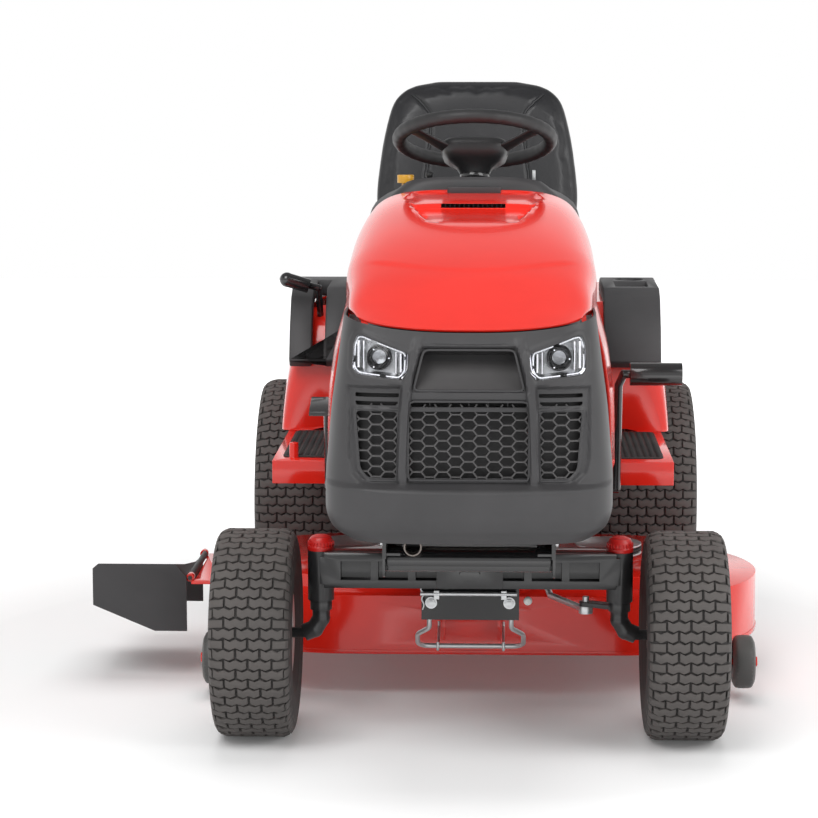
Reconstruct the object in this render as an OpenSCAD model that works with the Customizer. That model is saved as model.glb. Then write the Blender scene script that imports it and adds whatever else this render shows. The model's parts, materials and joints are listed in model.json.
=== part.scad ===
// Riding lawn mower with a twin-blade mid-mount deck and a side discharge.
// Own frame: +Z up, the machine faces -Y, its left side is +X, the ground is Z = 0.
// Every piece is modelled about the front axle line, then moved so that the
// middle of the whole machine's footprint is the origin.

/* [Wheels] */
// Distance between the front and rear axle lines
wheelbase = 1180; // [1100:10:1260]
// Outside diameter of a front tire
front_tire_d = 381; // [340:1:400]
// Width of a front tire
front_tire_w = 150; // [120:1:160]
// Outside diameter of a rear tire
rear_tire_d = 508; // [460:2:530]
// Width of a rear tire
rear_tire_w = 230; // [180:2:236]
// Centre plane to the middle of a front tire
front_track = 390; // [384:1:420]
// Centre plane to the middle of a rear tire
rear_track = 372; // [368:1:400]
// Front rim diameter
front_rim_d = 152; // [130:1:170]
// Rear rim diameter
rear_rim_d = 203; // [180:1:230]

/* [Frame] */
// Centre plane to the outer face of a frame rail
rail_x = 150; // [146:1:156]
// Height of the top of the frame rails
rail_top = 430; // [428:1:436]
// Height of a frame rail section
rail_h = 60; // [54:1:62]
// Thickness of the rail metal
rail_t = 6; // [4:0.5:8]
// Front axle line to the front end of the rails, ahead
rail_front = 190; // [180:1:196]
// Front axle line to the rear end of the rails
rail_rear = 1330; // [1320:1:1400]

/* [Front axle] */
// Centre plane to a kingpin
kingpin_x = 272; // [268:1:276]
// Kingpin radius
kingpin_r = 10; // [8:0.5:11]
// Running gap round every shaft
fit = 0.05; // [0.02:0.01:0.1]
// Steering arm length, kingpin to tie rod
arm_len = 120; // [118:1:124]
// Height of the axle pivot pin
axle_z = 313; // [312:1:314]

/* [Hood and dash] */
// Half width of the hood at its widest
hood_hw = 236; // [226:1:240]
// Height of the hood at its rear edge
hood_top = 973; // [930:1:990]
// Wall thickness of the plastic covers
skin_t = 5; // [3:0.5:6]
// Half width of the front fascia
fascia_hw = 246; // [242:1:250]
// Front axle line to the foremost point of the fascia, ahead
fascia_y = 330; // [324:1:340]
// Steering wheel outside diameter
wheel_d = 335; // [300:1:350]
// Lean of the steering shaft from upright
column_tilt = 19.5; // [19:0.5:20]

/* [Seat] */
// Seat width
seat_w = 455; // [400:5:470]
// Height of the top of the backrest
seat_top = 1180; // [1120:5:1200]
// Height of the top of the seat cushion
cushion_top = 830; // [820:1:850]

/* [Deck] */
// Radius of each blade chamber
chamber_r = 300; // [280:1:302]
// Half the distance between the blade spindles
spindle_half = 262; // [258:1:266]
// Height of the deck lip above the ground
lip_z = 85; // [80:1:100]
// Tip radius of a blade
blade_r = 255; // [200:1:256]
// Centre plane to the tip of the discharge chute
chute_tip = 755; // [720:1:780]

/* [Hidden] */

eps = 0.01;          // overreach of a cut
seat_gap = 0.3;      // gap between pieces that bear on each other and move
deck_x = 13;         // middle of the deck, left of the centre plane
deck_y = 585;        // spindle line behind the front axle
deck_top = 200;      // flat top of the deck
dome_top = 225;      // raised middle of the deck
deck_t = 4;
lip_out = 2;         // how far the deck's rolled lip stands out
hitch_end = 1470;    // rear end of the drawbar
red = "#d9201a";
charcoal = "#464446";
steel = "#b8bcc0";
black = "#1b1b1d";

// The footprint's middle, seen from the front axle line.
x_shift = (chute_tip - (deck_x + spindle_half + chamber_r + lip_out)) / 2;
y_shift = (fascia_y - hitch_end) / 2;

rail_bot = rail_top - rail_h;
front_z = front_tire_d / 2;
rear_z = rear_tire_d / 2;
crank_y = 200;       // crankshaft line
belt_z = 375;        // drive belt
pto_z = 236;         // deck belt
pulley_r = 50;
input_y = wheelbase - 60; // transaxle input shaft

axle_half = 35;      // front axle beam, front to back
tube_bot = 253;      // kingpin tube
tube_top = 345;
arm_z = 238;         // steering arms
arm_t = 8;
link_arm = [-60, 30];            // kingpin to the drag link's front joint
sector_at = [84, 421];           // sector shaft
pinion_r = 12;

wheel_at = [0, 656, 1067];       // middle of the steering wheel
wheel_tube = 14;

bail_at = [0, 66, 234];          // front hanger pivot line
bail_bar = [0, 255, 143];        // front hanger cross bar
lift_at = [0, 960, 560];         // lift shaft line
lift_arm = 86;
lift_rest = -15.5;               // lift arm's slope at rest

pedal_y = 385;       // pedal shafts
pedal_z = 395;
board_z = 440;       // underside of the footboards
board_t = 6;
board_x = 395;
board_front = 400;
board_rear = 830;

fender_x = 415;
fender_top = 715;
pan_top = 690;
pan_x = 245;
fender_back = 1455;
hood_hinge = [-250, 430];        // hood hinge line, along X
hinge_r = 6;
seat_hinge = [880, 706];         // seat hinge line, along X
cap_at = [190, 1390];            // fuel filler

// ---- helpers -------------------------------------------------------------

module place() translate([x_shift, y_shift, 0]) children();

// A round bar between two points.
module bar(a, b, r) {
    d = b - a;
    len = norm(d);
    translate(a) rotate([0, acos(d[2] / len), atan2(d[1], d[0])]) cylinder(r = r, h = len, $fn = 32);
}

// A round bar with ball ends.
module rod(a, b, r) {
    bar(a, b, r);
    for (p = [a, b]) translate(p) sphere(r = r * 1.03, $fn = 32);
}

// A chain of round bars through a list of points, with a ball at each bend.
module bent_rod(points, r) {
    for (i = [0:len(points) - 2]) bar(points[i], points[i + 1], r);
    for (i = [1:1:len(points) - 2]) translate(points[i]) sphere(r = r * 1.04, $fn = 32);
}

// A cylinder along X from x0 to x1.
module along_x(x0, x1, y, z, r, fn = 48)
    translate([x0, y, z]) rotate([0, 90, 0]) cylinder(r = r, h = x1 - x0, $fn = fn);

// A cylinder along Y from y0 to y1.
module along_y(y0, y1, x, z, r, fn = 48)
    translate([x, y0, z]) rotate([-90, 0, 0]) cylinder(r = r, h = y1 - y0, $fn = fn);

// A box given by its two far corners.
module block(a, b) translate(a) cube(b - a);

// The same piece on both sides.
module both_sides() { children(); mirror([1, 0, 0]) children(); }

// An outline in Y and Z drawn along X.
module side_extrude(x0, x1, outline)
    translate([x0, 0, 0]) rotate([90, 0, 90]) linear_extrude(x1 - x0) polygon(outline);

// Half of a rounded rectangle: from (-1, 0) over (0, 1) to (1, 0).
function bow(e, n) = [for (i = [0:n]) let (a = 180 * i / n, c = -cos(a))
    [sign(c) * pow(abs(c), e), pow(max(0, sin(a)), e)]];
function mirrored(list) = [for (p = list) [p[0], -p[1]]];
function turned(list) = [for (i = [len(list) - 1:-1:0]) list[i]];

// A wall skinned through rings, each an outer line followed by the inner line turned.
module skin_band(rings) {
    n = len(rings[0]);
    m = n / 2;
    last = len(rings) - 1;
    points = [for (r = rings) each r];
    sides = [for (j = [0:last - 1], k = [0:n - 1]) let (a = j * n + k, b = j * n + (k + 1) % n)
        each [[a, b, b + n], [a, b + n, a + n]]];
    first_cap = [for (k = [0:m - 2]) each
        [[k + 1, k, n - 1 - k], [k + 1, n - 1 - k, n - 2 - k]]];
    last_cap = [for (k = [0:m - 2]) let (o = last * n) each
        [[o + k, o + k + 1, o + n - 1 - k], [o + k + 1, o + n - 2 - k, o + n - 1 - k]]];
    polyhedron(points, concat(sides, first_cap, last_cap), convexity = 6);
}

// ---- wheels --------------------------------------------------------------

module tire(d, w, rim_d) {
    r = d / 2;
    q = rim_d / 2;
    wall = 10;
    outer = [[q, 0.34 * w], [q + 6, 0.42 * w], [q + 0.3 * (r - q), 0.49 * w],
             [q + 0.62 * (r - q), 0.5 * w], [r - 16, 0.475 * w], [r - 5, 0.43 * w],
             [r, 0.36 * w]];
    inner = [[q, 0.34 * w - wall], [q + 12, 0.42 * w - wall], [q + 0.35 * (r - q), 0.49 * w - wall],
             [q + 0.6 * (r - q), 0.5 * w - wall], [r - 22, 0.46 * w - wall],
             [r - 1.4 * wall, 0.36 * w - wall]];
    rotate([0, 90, 0]) rotate_extrude($fn = 120)
        polygon(concat(outer, mirrored(turned(outer)), mirrored(inner), turned(inner)));
}

// Outer side is +X.
module rim(rim_d, w, bore_r, hub_r) {
    q = rim_d / 2;
    wall = 5;
    rotate([0, 90, 0]) rotate_extrude($fn = 96) polygon([
        [bore_r, -0.34 * w], [hub_r, -0.34 * w], [hub_r, 0], [q - 22, 0.1 * w],
        [q - wall, 0.1 * w - wall], [q - wall, -0.34 * w], [q, -0.34 * w], [q, 0.34 * w],
        [q - wall, 0.34 * w], [q - wall, 0.1 * w + wall], [q - 24, 0.1 * w + wall],
        [hub_r, wall], [hub_r, 0.24 * w], [bore_r, 0.24 * w]]);
}

module front_wheel_at() translate([front_track, 0, front_z]) children();
module rear_wheel_at() translate([rear_track, wheelbase, rear_z]) children();
stub_r = 9.5;
rear_shaft_r = 12.7;

module left_front_tire() color(black) front_wheel_at() tire(front_tire_d, front_tire_w, front_rim_d);
module right_front_tire() mirror([1, 0, 0]) left_front_tire();
module left_rear_tire() color(black) rear_wheel_at() tire(rear_tire_d, rear_tire_w, rear_rim_d);
module right_rear_tire() mirror([1, 0, 0]) left_rear_tire();
module left_front_rim() color("#d8d8d8") front_wheel_at()
    rim(front_rim_d, front_tire_w, stub_r + fit, 22);
module right_front_rim() mirror([1, 0, 0]) left_front_rim();
module left_rear_rim() color("#d8d8d8") rear_wheel_at()
    rim(rear_rim_d, rear_tire_w, rear_shaft_r + fit, 30);
module right_rear_rim() mirror([1, 0, 0]) left_rear_rim();

// ---- frame ---------------------------------------------------------------

// C section rail at +X with the lift shaft's bracket, the hood hinge ear and the pedal bore.
module rail() {
    lip = 30;
    difference() {
        union() {
            block([rail_x - rail_t, -rail_front, rail_bot], [rail_x, rail_rear, rail_top]);
            for (z = [rail_bot, rail_top - rail_t])
                block([rail_x - lip, -rail_front, z], [rail_x, rail_rear, z + rail_t]);
            block([rail_x - rail_t, lift_at[1] - 24, rail_top - eps],
                  [rail_x, lift_at[1] + 24, lift_at[2] + 22]);
            along_x(rail_x - rail_t, rail_x, hood_hinge[0], hood_hinge[1], 16);
            block([rail_x - rail_t, hood_hinge[0], hood_hinge[1] - 16],
                  [rail_x, -rail_front + eps, hood_hinge[1] + 16]);
            block([rail_x - rail_t, -rail_front - 24, rail_bot], [rail_x, -rail_front + eps, rail_top]);
        }
        along_x(rail_x - 20, rail_x + 1, lift_at[1], lift_at[2], 8 + fit);
        along_x(rail_x - 20, rail_x + 1, hood_hinge[0], hood_hinge[1], hinge_r + fit);
        along_x(rail_x - 20, rail_x + 1, pedal_y, pedal_z, 8 + fit);
        for (y = [40, 520, 700, 1050]) along_x(rail_x - 20, rail_x + 1, y, rail_top - 30, 11);
    }
}

module left_frame_rail() color(black) {
    rail();
    // Steering plate between the rails: it carries the sector shaft and the column's foot.
    difference() {
        block([-rail_x + rail_t, sector_at[1] - 60, rail_top - rail_t - 8],
              [rail_x - rail_t, sector_at[1] + 50, rail_top - rail_t]);
        translate([sector_at[0], sector_at[1], rail_top - 40])
            cylinder(r = 9 + fit, h = 60, $fn = 48);
        steer_frame() translate([0, 0, -760]) cylinder(r = 10 + fit, h = 200, $fn = 48);
    }
}
module right_frame_rail() color(black) mirror([1, 0, 0]) rail();

module front_crossmember() color(black) {
    inner = rail_x - rail_t;
    plate = 6;
    // front tube between the rails
    block([-inner, -rail_front, rail_bot - 25], [inner, -rail_front + 40, rail_bot - eps]);
    both_sides() block([inner - 26, -rail_front, rail_bot - 25],
                       [rail_x, -rail_front + 40, rail_bot - eps]);
    difference() {
        union() {
            // saddle under the rails
            block([-rail_x, -60, rail_bot - plate], [rail_x, 84, rail_bot]);
            // hanger plates before and behind the axle
            for (y = [-54, 45]) block([-60, y, axle_z - 28], [60, y + plate, rail_bot - eps]);
            // bracket that hangs the deck's front
            block([-90, 45, 206], [90, 45 + plate, rail_bot - eps]);
            both_sides() block([84, 45, 206], [90, 84, 285]);
        }
        along_x(80, 95, bail_at[1], bail_at[2], 5 + fit);
        along_x(-95, -80, bail_at[1], bail_at[2], 5 + fit);
    }
    // axle pivot pin with its heads
    along_y(-60, 57, 0, axle_z, 12);
    along_y(-66, -54, 0, axle_z, 19, 6);
    along_y(45, 60, 0, axle_z, 19, 6);
}

module rear_hitch_plate() color(black) difference() {
    union() {
        block([-rail_x, rail_rear, 250], [rail_x, rail_rear + 8, rail_top]);
        block([-50, rail_rear, 284], [50, hitch_end - 50, 292]);
        translate([0, hitch_end - 50, 284]) cylinder(r = 50, h = 8, $fn = 64);
        both_sides() side_extrude(42, 48, [[rail_rear + 7, 292 - eps], [rail_rear + 70, 292 - eps],
                                           [rail_rear + 7, 340]]);
    }
    translate([0, hitch_end - 30, 280]) cylinder(r = 8, h = 20, $fn = 48);
}

module frame_bolts() color(steel) {
    // hex heads on the rail webs and on the rear plate
    both_sides() for (y = [-150, 20, 300, 850, 1240])
        along_x(rail_x, rail_x + 7, y, rail_top - 42, 8, 6);
    for (x = [-120, 120], z = [300, 400])
        along_y(rail_rear + 8, rail_rear + 15, x, z, 8, 6);
    both_sides() for (y = [100, 300])
        translate([rail_x - 14, y, rail_top + 20]) cylinder(r = 9, h = 8, $fn = 6);
}

// ---- engine --------------------------------------------------------------

module engine_block() color("#8d9094") difference() {
    union() {
        block([-rail_x + 2, 64, rail_top], [rail_x - 2, 336, rail_top + 20]);
        translate([0, crank_y, rail_top]) cylinder(r = 118, h = 150, $fn = 96);
        // starter motor and oil filter
        translate([-122, 250, rail_top + 20 - eps]) cylinder(r = 27, h = 120, $fn = 48);
        translate([124, 250, rail_top + 20 - eps]) cylinder(r = 33, h = 78, $fn = 48);
    }
    translate([0, crank_y, rail_top - 1]) cylinder(r = 12.5 + fit, h = 160, $fn = 64);
}

cyl_end = 205;
module engine_cylinders() color("#9a9da1") difference() {
    both_sides() translate([0, crank_y, rail_top + 88]) rotate([0, 0, -45]) {
        // barrel and head along the turned X axis
        block([100, -38, -40], [cyl_end, 38, 40]);
        for (i = [0:6]) block([122 + 11 * i, -48, -50], [127 + 11 * i, 48, 50]);
        block([cyl_end - 6, -44, -44], [cyl_end, 44, 44]);
    }
    translate([0, crank_y, rail_top - 1]) cylinder(r = 118, h = 160, $fn = 96);
}

shroud_bot = rail_top + 150;
shroud_top = shroud_bot + 105;
module blower_housing() color(black) difference() {
    union() {
        translate([0, crank_y, shroud_bot]) cylinder(r = 158, h = 80, $fn = 96);
        translate([0, crank_y, shroud_bot + 80 - eps]) cylinder(r = 120, h = 25 + eps, $fn = 96);
    }
    translate([0, crank_y, shroud_bot + 12]) cylinder(r = 112, h = 120, $fn = 96);
    translate([0, crank_y, shroud_bot - 1]) cylinder(r = 12.5 + 1, h = 60, $fn = 64);
}

module air_cleaner() color("#2a2a2c") {
    // canister on the fan housing's front, with its knob
    difference() {
        union() {
            block([-86, -44, shroud_bot + 4], [86, 96, shroud_bot + 92]);
            translate([0, 26, shroud_bot + 92 - eps]) cylinder(r = 16, h = 16, $fn = 48);
        }
        translate([0, crank_y, shroud_bot - 1]) cylinder(r = 158, h = 200, $fn = 96);
    }
}

muffler_y = -112;
module muffler() color("#77716a") {
    z = rail_top + 55;
    along_x(-128, 128, muffler_y, z, 52, 64);
    both_sides() {
        block([rail_x - 30, muffler_y - 22, rail_top], [rail_x - 24, muffler_y + 22, z]);
        block([rail_x - 30, muffler_y - 22, rail_top], [rail_x, muffler_y + 22, rail_top + 5]);
        along_y(muffler_y + 30, 12, 92, z + 22, 14, 48);
    }
}

module crankshaft() color(steel) translate([0, crank_y, 0]) {
    translate([0, 0, pto_z - 8]) cylinder(r = 12.5, h = shroud_top - 20 - pto_z + 8, $fn = 64);
    pulley(pto_z, pulley_r);
    pulley(belt_z, pulley_r);
    // fan and its debris screen
    translate([0, 0, shroud_bot + 22]) cylinder(r = 104, h = 12, $fn = 96);
    for (i = [0:11]) rotate([0, 0, 30 * i])
        block([48, -2, shroud_bot + 34 - eps], [102, 2, shroud_bot + 74]);
    translate([0, 0, shroud_bot + 74 - eps]) cylinder(r = 106, h = 5, $fn = 96);
}

// V pulley whose belt runs at height z.
module pulley(z, r) translate([0, 0, z]) rotate_extrude($fn = 96)
    polygon([[0, -5], [r + 8, -5], [r + 8, -2], [r - 2, 2], [r - 2, 8], [r + 8, 12], [r + 8, 15],
             [0, 15]]);

module belt_loop(points, r, z) {
    n = len(points);
    module round_trip(g) hull() for (i = [0:n - 1]) translate(points[i]) circle(r = r[i] + g, $fn = 48);
    translate([0, 0, z]) linear_extrude(5.4) difference() {
        round_trip(9);
        round_trip(0);
    }
}
module belts() color("#151515") {
    belt_loop([[0, crank_y], [0, input_y]], [pulley_r, 62], belt_z + 2.3);
    belt_loop([[0, crank_y], [deck_x + spindle_half, deck_y], [deck_x - spindle_half, deck_y]],
              [pulley_r, 60, 60], pto_z + 2.3);
}

// ---- drive ---------------------------------------------------------------

module transaxle() color("#85888c") difference() {
    union() {
        block([-110, wheelbase - 110, 168], [110, wheelbase + 80, rail_bot - 6]);
        block([-rail_x, wheelbase - 90, rail_bot - 6 - eps], [rail_x, wheelbase + 70, rail_bot]);
        along_x(-150, 150, wheelbase, rear_z, 70, 64);
        both_sides() {
            along_x(148, rear_track - 0.34 * rear_tire_w - 2, wheelbase, rear_z, 34, 48);
            along_x(200, rear_track + 0.24 * rear_tire_w + 8, wheelbase, rear_z, rear_shaft_r, 64);
            along_x(rear_track + 0.24 * rear_tire_w + 0.5, rear_track + 0.24 * rear_tire_w + 8,
                    wheelbase, rear_z, 24, 48);
        }
    }
    translate([0, input_y, rail_bot - 60]) cylinder(r = 10 + fit, h = 70, $fn = 48);
}

module transaxle_pulley() color(steel) translate([0, input_y, 0]) {
    translate([0, 0, rail_bot - 50]) cylinder(r = 10, h = 60, $fn = 48);
    pulley(belt_z + 1, 62);
}

module battery() color("#222226") {
    block([-rail_x, 990, rail_top], [rail_x, 1172, rail_top + 5]);
    block([-96, 998, rail_top + 5], [96, 1164, rail_top + 170]);
    for (x = [-70, 70]) translate([x, 1020, rail_top + 170 - eps]) cylinder(r = 9, h = 16, $fn = 32);
}

module fuel_tank() color("#e6e2d4") {
    difference() {
        block([-236, 1184, rail_top], [236, 1428, rail_top + 172]);
        block([-230, 1190, rail_top + 6], [230, 1422, rail_top + 166]);
        translate([cap_at[0], cap_at[1], rail_top + 100]) cylinder(r = 22, h = 100, $fn = 48);
    }
    difference() {
        translate([cap_at[0], cap_at[1], rail_top + 172 - eps])
            cylinder(r = 27, h = pan_top + 6 - rail_top - 172, $fn = 64);
        translate([cap_at[0], cap_at[1], rail_top + 160]) cylinder(r = 22, h = 300, $fn = 64);
    }
}

module fuel_cap() color(black) translate([cap_at[0], cap_at[1], pan_top + 6 + seat_gap]) {
    difference() {
        cylinder(r = 38, h = 26, $fn = 64);
        for (i = [0:11]) rotate([0, 0, 30 * i]) translate([40, 0, -1]) cylinder(r = 5, h = 30, $fn = 24);
    }
    translate([0, 0, -18]) cylinder(r = 20, h = 18 + eps, $fn = 48);
}

// ---- body ----------------------------------------------------------------

function fender_outline(t, top) = [
    [832 + t, board_z + board_t - (t > 0 ? 1 : 0)], [816 + t, 560], [822 + t, 620], [842 + t, 672 - t * 0.5],
    [868 + t * 0.7, top - 20 - t], [905, top - t], [1380, top - t], [1418 - t * 0.6, top - 14 - t],
    [1442 - t, top - 48], [fender_back - t, 600], [fender_back - t, 470 - (t > 0 ? 1 : 0)],
    [1390, t > 0 ? 400 : 470], [960, t > 0 ? 400 : board_z + board_t]];

lever_slot = [[-344, 776, 560], [-316, 1012, 800]];
arch_r = rear_tire_d / 2 + 31;

module fender_body() color(red) {
    difference() {
        side_extrude(-fender_x, fender_x, fender_outline(0, fender_top));
        side_extrude(-fender_x + skin_t, fender_x - skin_t, fender_outline(skin_t, pan_top));
        both_sides() {
            side_extrude(pan_x + skin_t, fender_x - skin_t, fender_outline(skin_t, fender_top));
            along_x(pan_x, fender_x + 1, wheelbase, rear_z, arch_r, 120);
        }
        block([-pan_x, 860, pan_top], [pan_x, fender_back + 1, fender_top + 1]);
        block([-pan_x, 700, pan_top], [pan_x, 870, fender_top + 1]);
        // sides and rear stay open below the seat
        block([-fender_x - 1, 800, 300], [fender_x + 1, fender_back + 1, board_z + board_t]);
        block(lever_slot[0], lever_slot[1]);
        translate([cap_at[0], cap_at[1], pan_top - 40]) cylinder(r = 27 + seat_gap, h = 60, $fn = 64);
        // tunnel over the frame
        block([-152, 790, 440], [152, 860, 470]);
    }
    // seat hinge lugs
    both_sides() difference() {
        block([120, seat_hinge[0] - 14, pan_top - eps], [128, seat_hinge[0] + 14, seat_hinge[1] + 10]);
        along_x(115, 132, seat_hinge[0], seat_hinge[1], hinge_r + fit);
    }
}

// Footboard at +X: plate, front and outer folds and two brackets to the rail.
module footboard() {
    difference() {
        block([rail_x + 2, board_front, board_z], [board_x, board_rear + 60, board_z + board_t]);
        block([rail_x + 60, board_rear + 22, board_z - 1], [board_x + 1, board_rear + 70, board_z + 9]);
    }
    block([rail_x + 2, board_front, board_z - 40], [board_x, board_front + 4, board_z + eps]);
    block([board_x - 4, board_front, board_z - 30], [board_x, board_rear + 22, board_z + eps]);
    for (y = [470, 790])
        side_bracket(y);
}
module side_bracket(y) translate([0, y + 5, 0]) rotate([90, 0, 0]) linear_extrude(5)
    polygon([[rail_x, rail_top - 55], [rail_x, board_z - 12], [rail_x + 3, board_z + eps],
             [board_x - 10, board_z + eps], [board_x - 10, board_z - 12]]);
module left_footboard() color(red) footboard();
module right_footboard() color(red) {
    mirror([1, 0, 0]) footboard();
    translate([-355, 440, board_z + board_t - eps]) cylinder(r = 9, h = 30, $fn = 32);
}

// Console on a fender, at +X. It wraps over the fender's shoulder.
module console_solid() difference() {
    side_extrude(272, 391, [[790, 585], [774, 600], [800, 668], [842, 728], [880, 746],
                            [1090, 750], [1128, 738], [1140, 700], [860, 600]]);
    side_extrude(200, 500, fender_outline(0, fender_top));
}
module left_console() color(charcoal) difference() {
    console_solid();
    block([300, 905, 722], [370, 1010, 760]);
    translate([335, 1056, 724]) cylinder(r = 30, h = 40, $fn = 64);
}
module right_console() color(charcoal) difference() {
    mirror([1, 0, 0]) console_solid();
    block(lever_slot[0], lever_slot[1]);
}

function dash_ring(z, hw, y0, y1, t) = let (
    outer = [for (p = bow(0.5, 16)) [p[0] * hw, y0 + (y1 - y0) * p[1], z]],
    inner = [for (p = bow(0.5, 16)) [p[0] * (hw - t), y0 + (y1 - y0 - t) * p[1], z]])
    concat(outer, turned(inner));
dash_y = 526;
module dash_tower() color(charcoal) {
    difference() {
        union() {
            skin_band([dash_ring(rail_top, 148, dash_y + 10, 690, skin_t),
                       dash_ring(640, 150, dash_y + 10, 690, skin_t),
                       dash_ring(700, 262, dash_y, 700, skin_t),
                       dash_ring(830, 274, dash_y, 706, skin_t),
                       dash_ring(900, 238, dash_y, 704, skin_t),
                       dash_ring(968, 188, dash_y, 700, skin_t)]);
            // top panel
            translate([0, 0, 966]) linear_extrude(10)
                polygon([for (p = bow(0.5, 16)) [p[0] * 188, dash_y + (700 - dash_y) * p[1]]]);
        }
        steer_frame() translate([0, 0, -300]) cylinder(r = 22 + seat_gap, h = 300, $fn = 48);
        key_bores();
    }
    // throttle's pivot cheeks under the top panel
    for (x = [-9, 5]) difference() {
        block([throttle_at[0] + x, throttle_at[1] - 24, 940], [throttle_at[0] + x + 4, throttle_at[1], 966 + eps]);
        along_x(throttle_at[0] + x - 1, throttle_at[0] + x + 5, throttle_at[1] - 12, 950, 3 + fit);
    }
}

// Places on the dash's top panel.
key_at = [120, 640];
pto_at = [-140, 640];
throttle_at = [-92, 664];
module key_bores() {
    for (p = [key_at, pto_at]) translate([p[0], p[1], 930]) cylinder(r = 8 + seat_gap, h = 80, $fn = 32);
    block([throttle_at[0] - 5, throttle_at[1] - 50, 950], [throttle_at[0] + 5, throttle_at[1] + 26, 990]);
}

module ignition_key() color(steel) translate([key_at[0], key_at[1], 0]) {
    translate([0, 0, 940]) cylinder(r = 8, h = 42, $fn = 32);
    block([-3, -13, 982 - eps], [3, 13, 1006]);
}
module pto_knob() color("#e0b020") translate([pto_at[0], pto_at[1], 0]) {
    translate([0, 0, 940]) cylinder(r = 8, h = 40, $fn = 32);
    translate([0, 0, 980]) cylinder(r = 17, h = 16, $fn = 48);
}
module throttle_lever() color(black) {
    y = throttle_at[1] - 12;
    along_x(throttle_at[0] - 3, throttle_at[0] + 3, y, 950, 12, 32);
    along_x(throttle_at[0] - 9, throttle_at[0] + 9, y, 950, 3, 32);
    bar([throttle_at[0], y, 952], [throttle_at[0], y - 7, 994], 3);
    translate([throttle_at[0], y - 8, 996]) sphere(r = 8, $fn = 32);
}

// ---- steering ------------------------------------------------------------

module steer_frame() translate(wheel_at) rotate([-column_tilt, 0, 0]) children();

module steering_column() color(black) steer_frame() difference() {
    union() {
        translate([0, 0, -330]) cylinder(r = 22, h = 250, $fn = 64);
        translate([0, 0, -85]) cylinder(r = 30, h = 10, $fn = 64);
    }
    translate([0, 0, -340]) cylinder(r = 10 + fit, h = 300, $fn = 48);
}

dish = 58;
module steering_wheel() color(black) steer_frame() {
    ring_r = wheel_d / 2 - wheel_tube;
    rotate_extrude($fn = 120) translate([ring_r, 0]) circle(r = wheel_tube, $fn = 32);
    translate([0, 0, -dish - 14]) cylinder(r = 40, h = 24, $fn = 64);
    for (a = [90, 210, 330]) rotate([0, 0, a])
        bent_rod([[20, 0, -dish], [92, 0, -dish + 12], [ring_r, 0, 0]], 10);
    translate([0, 0, -716]) cylinder(r = 10, h = 716 - dish, $fn = 48);
    translate([0, 0, -718]) cylinder(r = pinion_r, h = 14, $fn = 48);
}

module steering_sector() color(steel) translate([sector_at[0], sector_at[1], 0]) {
    z = rail_top - rail_t - 8 - 0.5;
    translate([0, 0, 346]) cylinder(r = 9, h = rail_top - rail_t + 10 - 346, $fn = 48);
    translate([0, 0, z - 8]) linear_extrude(8) difference() {
        circle(r = 84 - pinion_r - 3, $fn = 96);
        translate([9, -100]) square([100, 200]);
        for (i = [-9:9]) rotate(180 + 6 * i) translate([84 - pinion_r - 3, 0]) circle(r = 2, $fn = 24);
    }
    translate([0, 0, 352]) linear_extrude(8) hull() {
        circle(r = 15, $fn = 32);
        translate(link_arm) circle(r = 12, $fn = 32);
    }
    translate([link_arm[0], link_arm[1], 322]) cylinder(r = 7, h = 32, $fn = 32);
}

link_end = sector_at + link_arm;   // drag link's rear joint
link_start = [kingpin_x, 0] + link_arm;
module drag_link() color(steel) {
    r = 6;
    start = [link_start[0], link_start[1], arm_z - 8];
    bends = [[150, 156, arm_z - 8], [126, 210, 275], [110, 262, 318]];
    rod_end = [link_end[0] + 12, link_end[1] - 12, 333];
    bent_rod([start, each bends, rod_end], r);
    translate([start[0], start[1], arm_z - 14]) cylinder(r = 13, h = 13.5, $fn = 48);
    translate([start[0], start[1], arm_z - 1]) cylinder(r = 6, h = 18, $fn = 32);
    translate([link_end[0], link_end[1], 328]) difference() {
        cylinder(r = 20, h = 10, $fn = 48);
        translate([0, 0, -1]) cylinder(r = 13, h = 13, $fn = 48);
    }
}

module tie_rod() color(steel) {
    z = arm_z + arm_t + 10;
    along_x(-kingpin_x, kingpin_x, arm_len, z, 7, 48);
    both_sides() {
        translate([kingpin_x, arm_len, arm_z + arm_t + 0.5]) cylinder(r = 13, h = 18, $fn = 48);
        translate([kingpin_x, arm_len, arm_z - 4]) cylinder(r = 6, h = 20, $fn = 32);
    }
}

// Left spindle: kingpin, washer, bent leg, stub axle and rear steering arm.
module spindle() {
    leg = 16;
    translate([kingpin_x, 0, arm_z]) cylinder(r = kingpin_r, h = tube_top - 1 - arm_z, $fn = 64);
    translate([kingpin_x, 0, arm_z - 3]) cylinder(r = 20, h = tube_bot - seat_gap - arm_z + 3, $fn = 64);
    bent_rod([[kingpin_x, 0, arm_z + 4], [kingpin_x, 0, 218], [kingpin_x + 12, 0, 198],
              [kingpin_x + 31, 0, front_z]], leg);
    along_x(kingpin_x + 24, front_track + 0.24 * front_tire_w + 6, 0, front_z, stub_r, 64);
    along_x(front_track + 0.24 * front_tire_w + 0.5, front_track + 0.24 * front_tire_w + 6,
            0, front_z, 17, 48);
    difference() {
        union() {
            block([kingpin_x - 12, 0, arm_z], [kingpin_x + 12, arm_len, arm_z + arm_t]);
            translate([kingpin_x, arm_len, arm_z]) cylinder(r = 14, h = arm_t, $fn = 48);
        }
        translate([kingpin_x, arm_len, arm_z - 1]) cylinder(r = 6 + 0.3, h = arm_t + 2, $fn = 48);
    }
}
module left_spindle() color(black) {
    spindle();
    // inner arm for the drag link
    difference() {
        translate([kingpin_x, 0, arm_z]) linear_extrude(arm_t) hull() {
            circle(r = 14, $fn = 32);
            translate(link_arm) circle(r = 12, $fn = 32);
        }
        translate([link_start[0], link_start[1], arm_z - 1]) cylinder(r = 6.1, h = arm_t + 2, $fn = 48);
    }
}
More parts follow.
